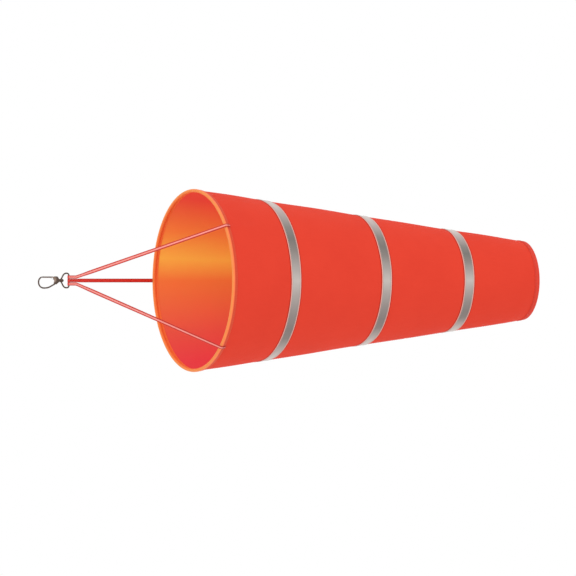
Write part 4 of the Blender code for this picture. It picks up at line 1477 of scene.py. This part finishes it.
# %% Turn the rivet
rivet_low, rivet_high = corners("swivel_rivet")
washer_low, washer_high = corners("swivel_washer")
RIVET_HEAD = (rivet_high[2] - rivet_low[2]) / 2
RIVET_SHANK = 0.0018
HEAD_X = washer_high[0] + AIR
head_height = rivet_high[0] - HEAD_X
shank = [(rivet_low[0], 0.0), (rivet_low[0], RIVET_SHANK), (HEAD_X, RIVET_SHANK)]
head = [(HEAD_X, RIVET_HEAD * 0.94)]  # a small chamfer under the dome
head += dome(HEAD_X + head_height * 0.12, RIVET_HEAD, head_height * 0.88)
rivet = turned("rivet_turned", shank + head, (0, 0, 0), (1, 0, 0))
settle(rivet, BRONZE, "hook", "dark_bronze", "swivel_rivet")
report(rivet)

# %% Turn the washer and the gate's pin
WASHER_R = (washer_high[2] - washer_low[2]) / 2
BEVEL = 0.00012
ring = [
    (washer_low[0], RIVET_SHANK + AIR),
    (washer_low[0], WASHER_R - BEVEL),
    (washer_low[0] + BEVEL, WASHER_R),
    (washer_high[0] - BEVEL, WASHER_R),
    (washer_high[0], WASHER_R - BEVEL),
    (washer_high[0], RIVET_SHANK + AIR),
]
washer = turned("washer_turned", ring, (0, 0, 0), (1, 0, 0))
settle(washer, GATE_BRONZE, "hook", "dark_bronze", "swivel_washer")
report(washer)
PIN = np.array(joints["gate_open"])
pin_low, pin_high = corners("gate_pin")
PIN_R = (pin_high[2] - pin_low[2]) / 2
PIN_HEAD = 0.0015
CHEEK = pin_high[1] - 0.0004  # side of the hook's head
FACE = CHEEK + 0.0001
half = [(CHEEK + AIR / 6, PIN_R), (CHEEK + AIR / 6, PIN_HEAD * 0.9)]
half += dome(FACE, PIN_HEAD, pin_high[1] - FACE)
whole = [(-a, r) for a, r in half[::-1]] + half
pin = turned("pin_turned", whole, PIN, (0, 1, 0))
settle(pin, GATE_BRONZE, "hook", "dark_bronze", "gate_pin")
report(pin)

# %% [markdown]
# ## Sprung steel
#
# The leaf under the gate, the hoop in the rim and its ferrule are plain sprung steel. The leaf
# is baked in place. The hoop and the ferrule are right as they are and only get their finish.

# %% Steel
STEEL_DARK, STEEL_LIGHT = srgb(150, 152, 156), srgb(190, 190, 192)


def steel_finish():
    """Drawn steel wire: a slightly uneven blue-grey."""
    finish, tree, shader = start_finish("spring steel", roughness=0.3, metallic=1.0)
    place = tree.nodes.new("ShaderNodeTexCoord").outputs["Object"]
    tone = use(tree, MOTTLE, place, Scale=300.0)
    share = scaled_by(tree, tone.outputs[0], 0.4, 0.5)
    tree.links.new(blend_colour(tree, share, STEEL_DARK, STEEL_LIGHT), shader.inputs["Base Color"])
    bump(tree, shader, tone.outputs[0], 0.00002)
    return finish


STEEL = steel_finish()
leaf_low, leaf_high = corners("gate_spring")
LEAF_THICK = 0.0004
KNEE_X = PIN[0] - 0.0025  # where the leaf leaves the slot's floor


def make_leaf():
    """A flat leaf from the slot's floor up to the gate: height goes as 3t^2 - 2t^3 along it."""
    flat_part = np.linspace(leaf_high[0], KNEE_X, 6)[:-1]
    x = np.concatenate([flat_part, np.linspace(KNEE_X, leaf_low[0] + 0.0001, 20)])
    climb = leaf_high[2] - leaf_low[2] - LEAF_THICK * 1.2
    z = leaf_low[2] + LEAF_THICK / 2 + climb * ease((KNEE_X - x) / (KNEE_X - leaf_low[0]))
    centre = np.stack([x, 0 * x, z], axis=-1)
    across = np.tile([0.0, 1.0, 0.0], (len(x), 1))
    out = np.cross(across, unit(np.gradient(centre, axis=0)))
    wide = (leaf_high[1] - leaf_low[1]) / 2
    points = carried(strap_outline(6), centre, across * wide, out * LEAF_THICK / 2)
    return surface("gate_leaf", points, around=True)


leaf = make_leaf()
leaf.data.materials.append(STEEL)
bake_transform(leaf)
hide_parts("gate_spring")
report(leaf)
for node in ("mouth_hoop", "hoop_ferrule"):
    frame["nodes"][node].data.materials.clear()
    frame["nodes"][node].data.materials.append(STEEL)

# %% [markdown]
#
# For each panel, the pieces that are sewn onto it are gathered in a list. The wind and the sewn
# rings hold it stretched.

for which, (panel, ends) in enumerate(zip(panels, PANELS)):
    sewn_on = [seam_tapes[which], seam_stitches[which], bands[which], band_stitches[which]]
    sewn_on += [rim, rim_stitches] if which == 0 else []
    sewn_on += [tail_hem, tail_stitches] if which == 2 else []
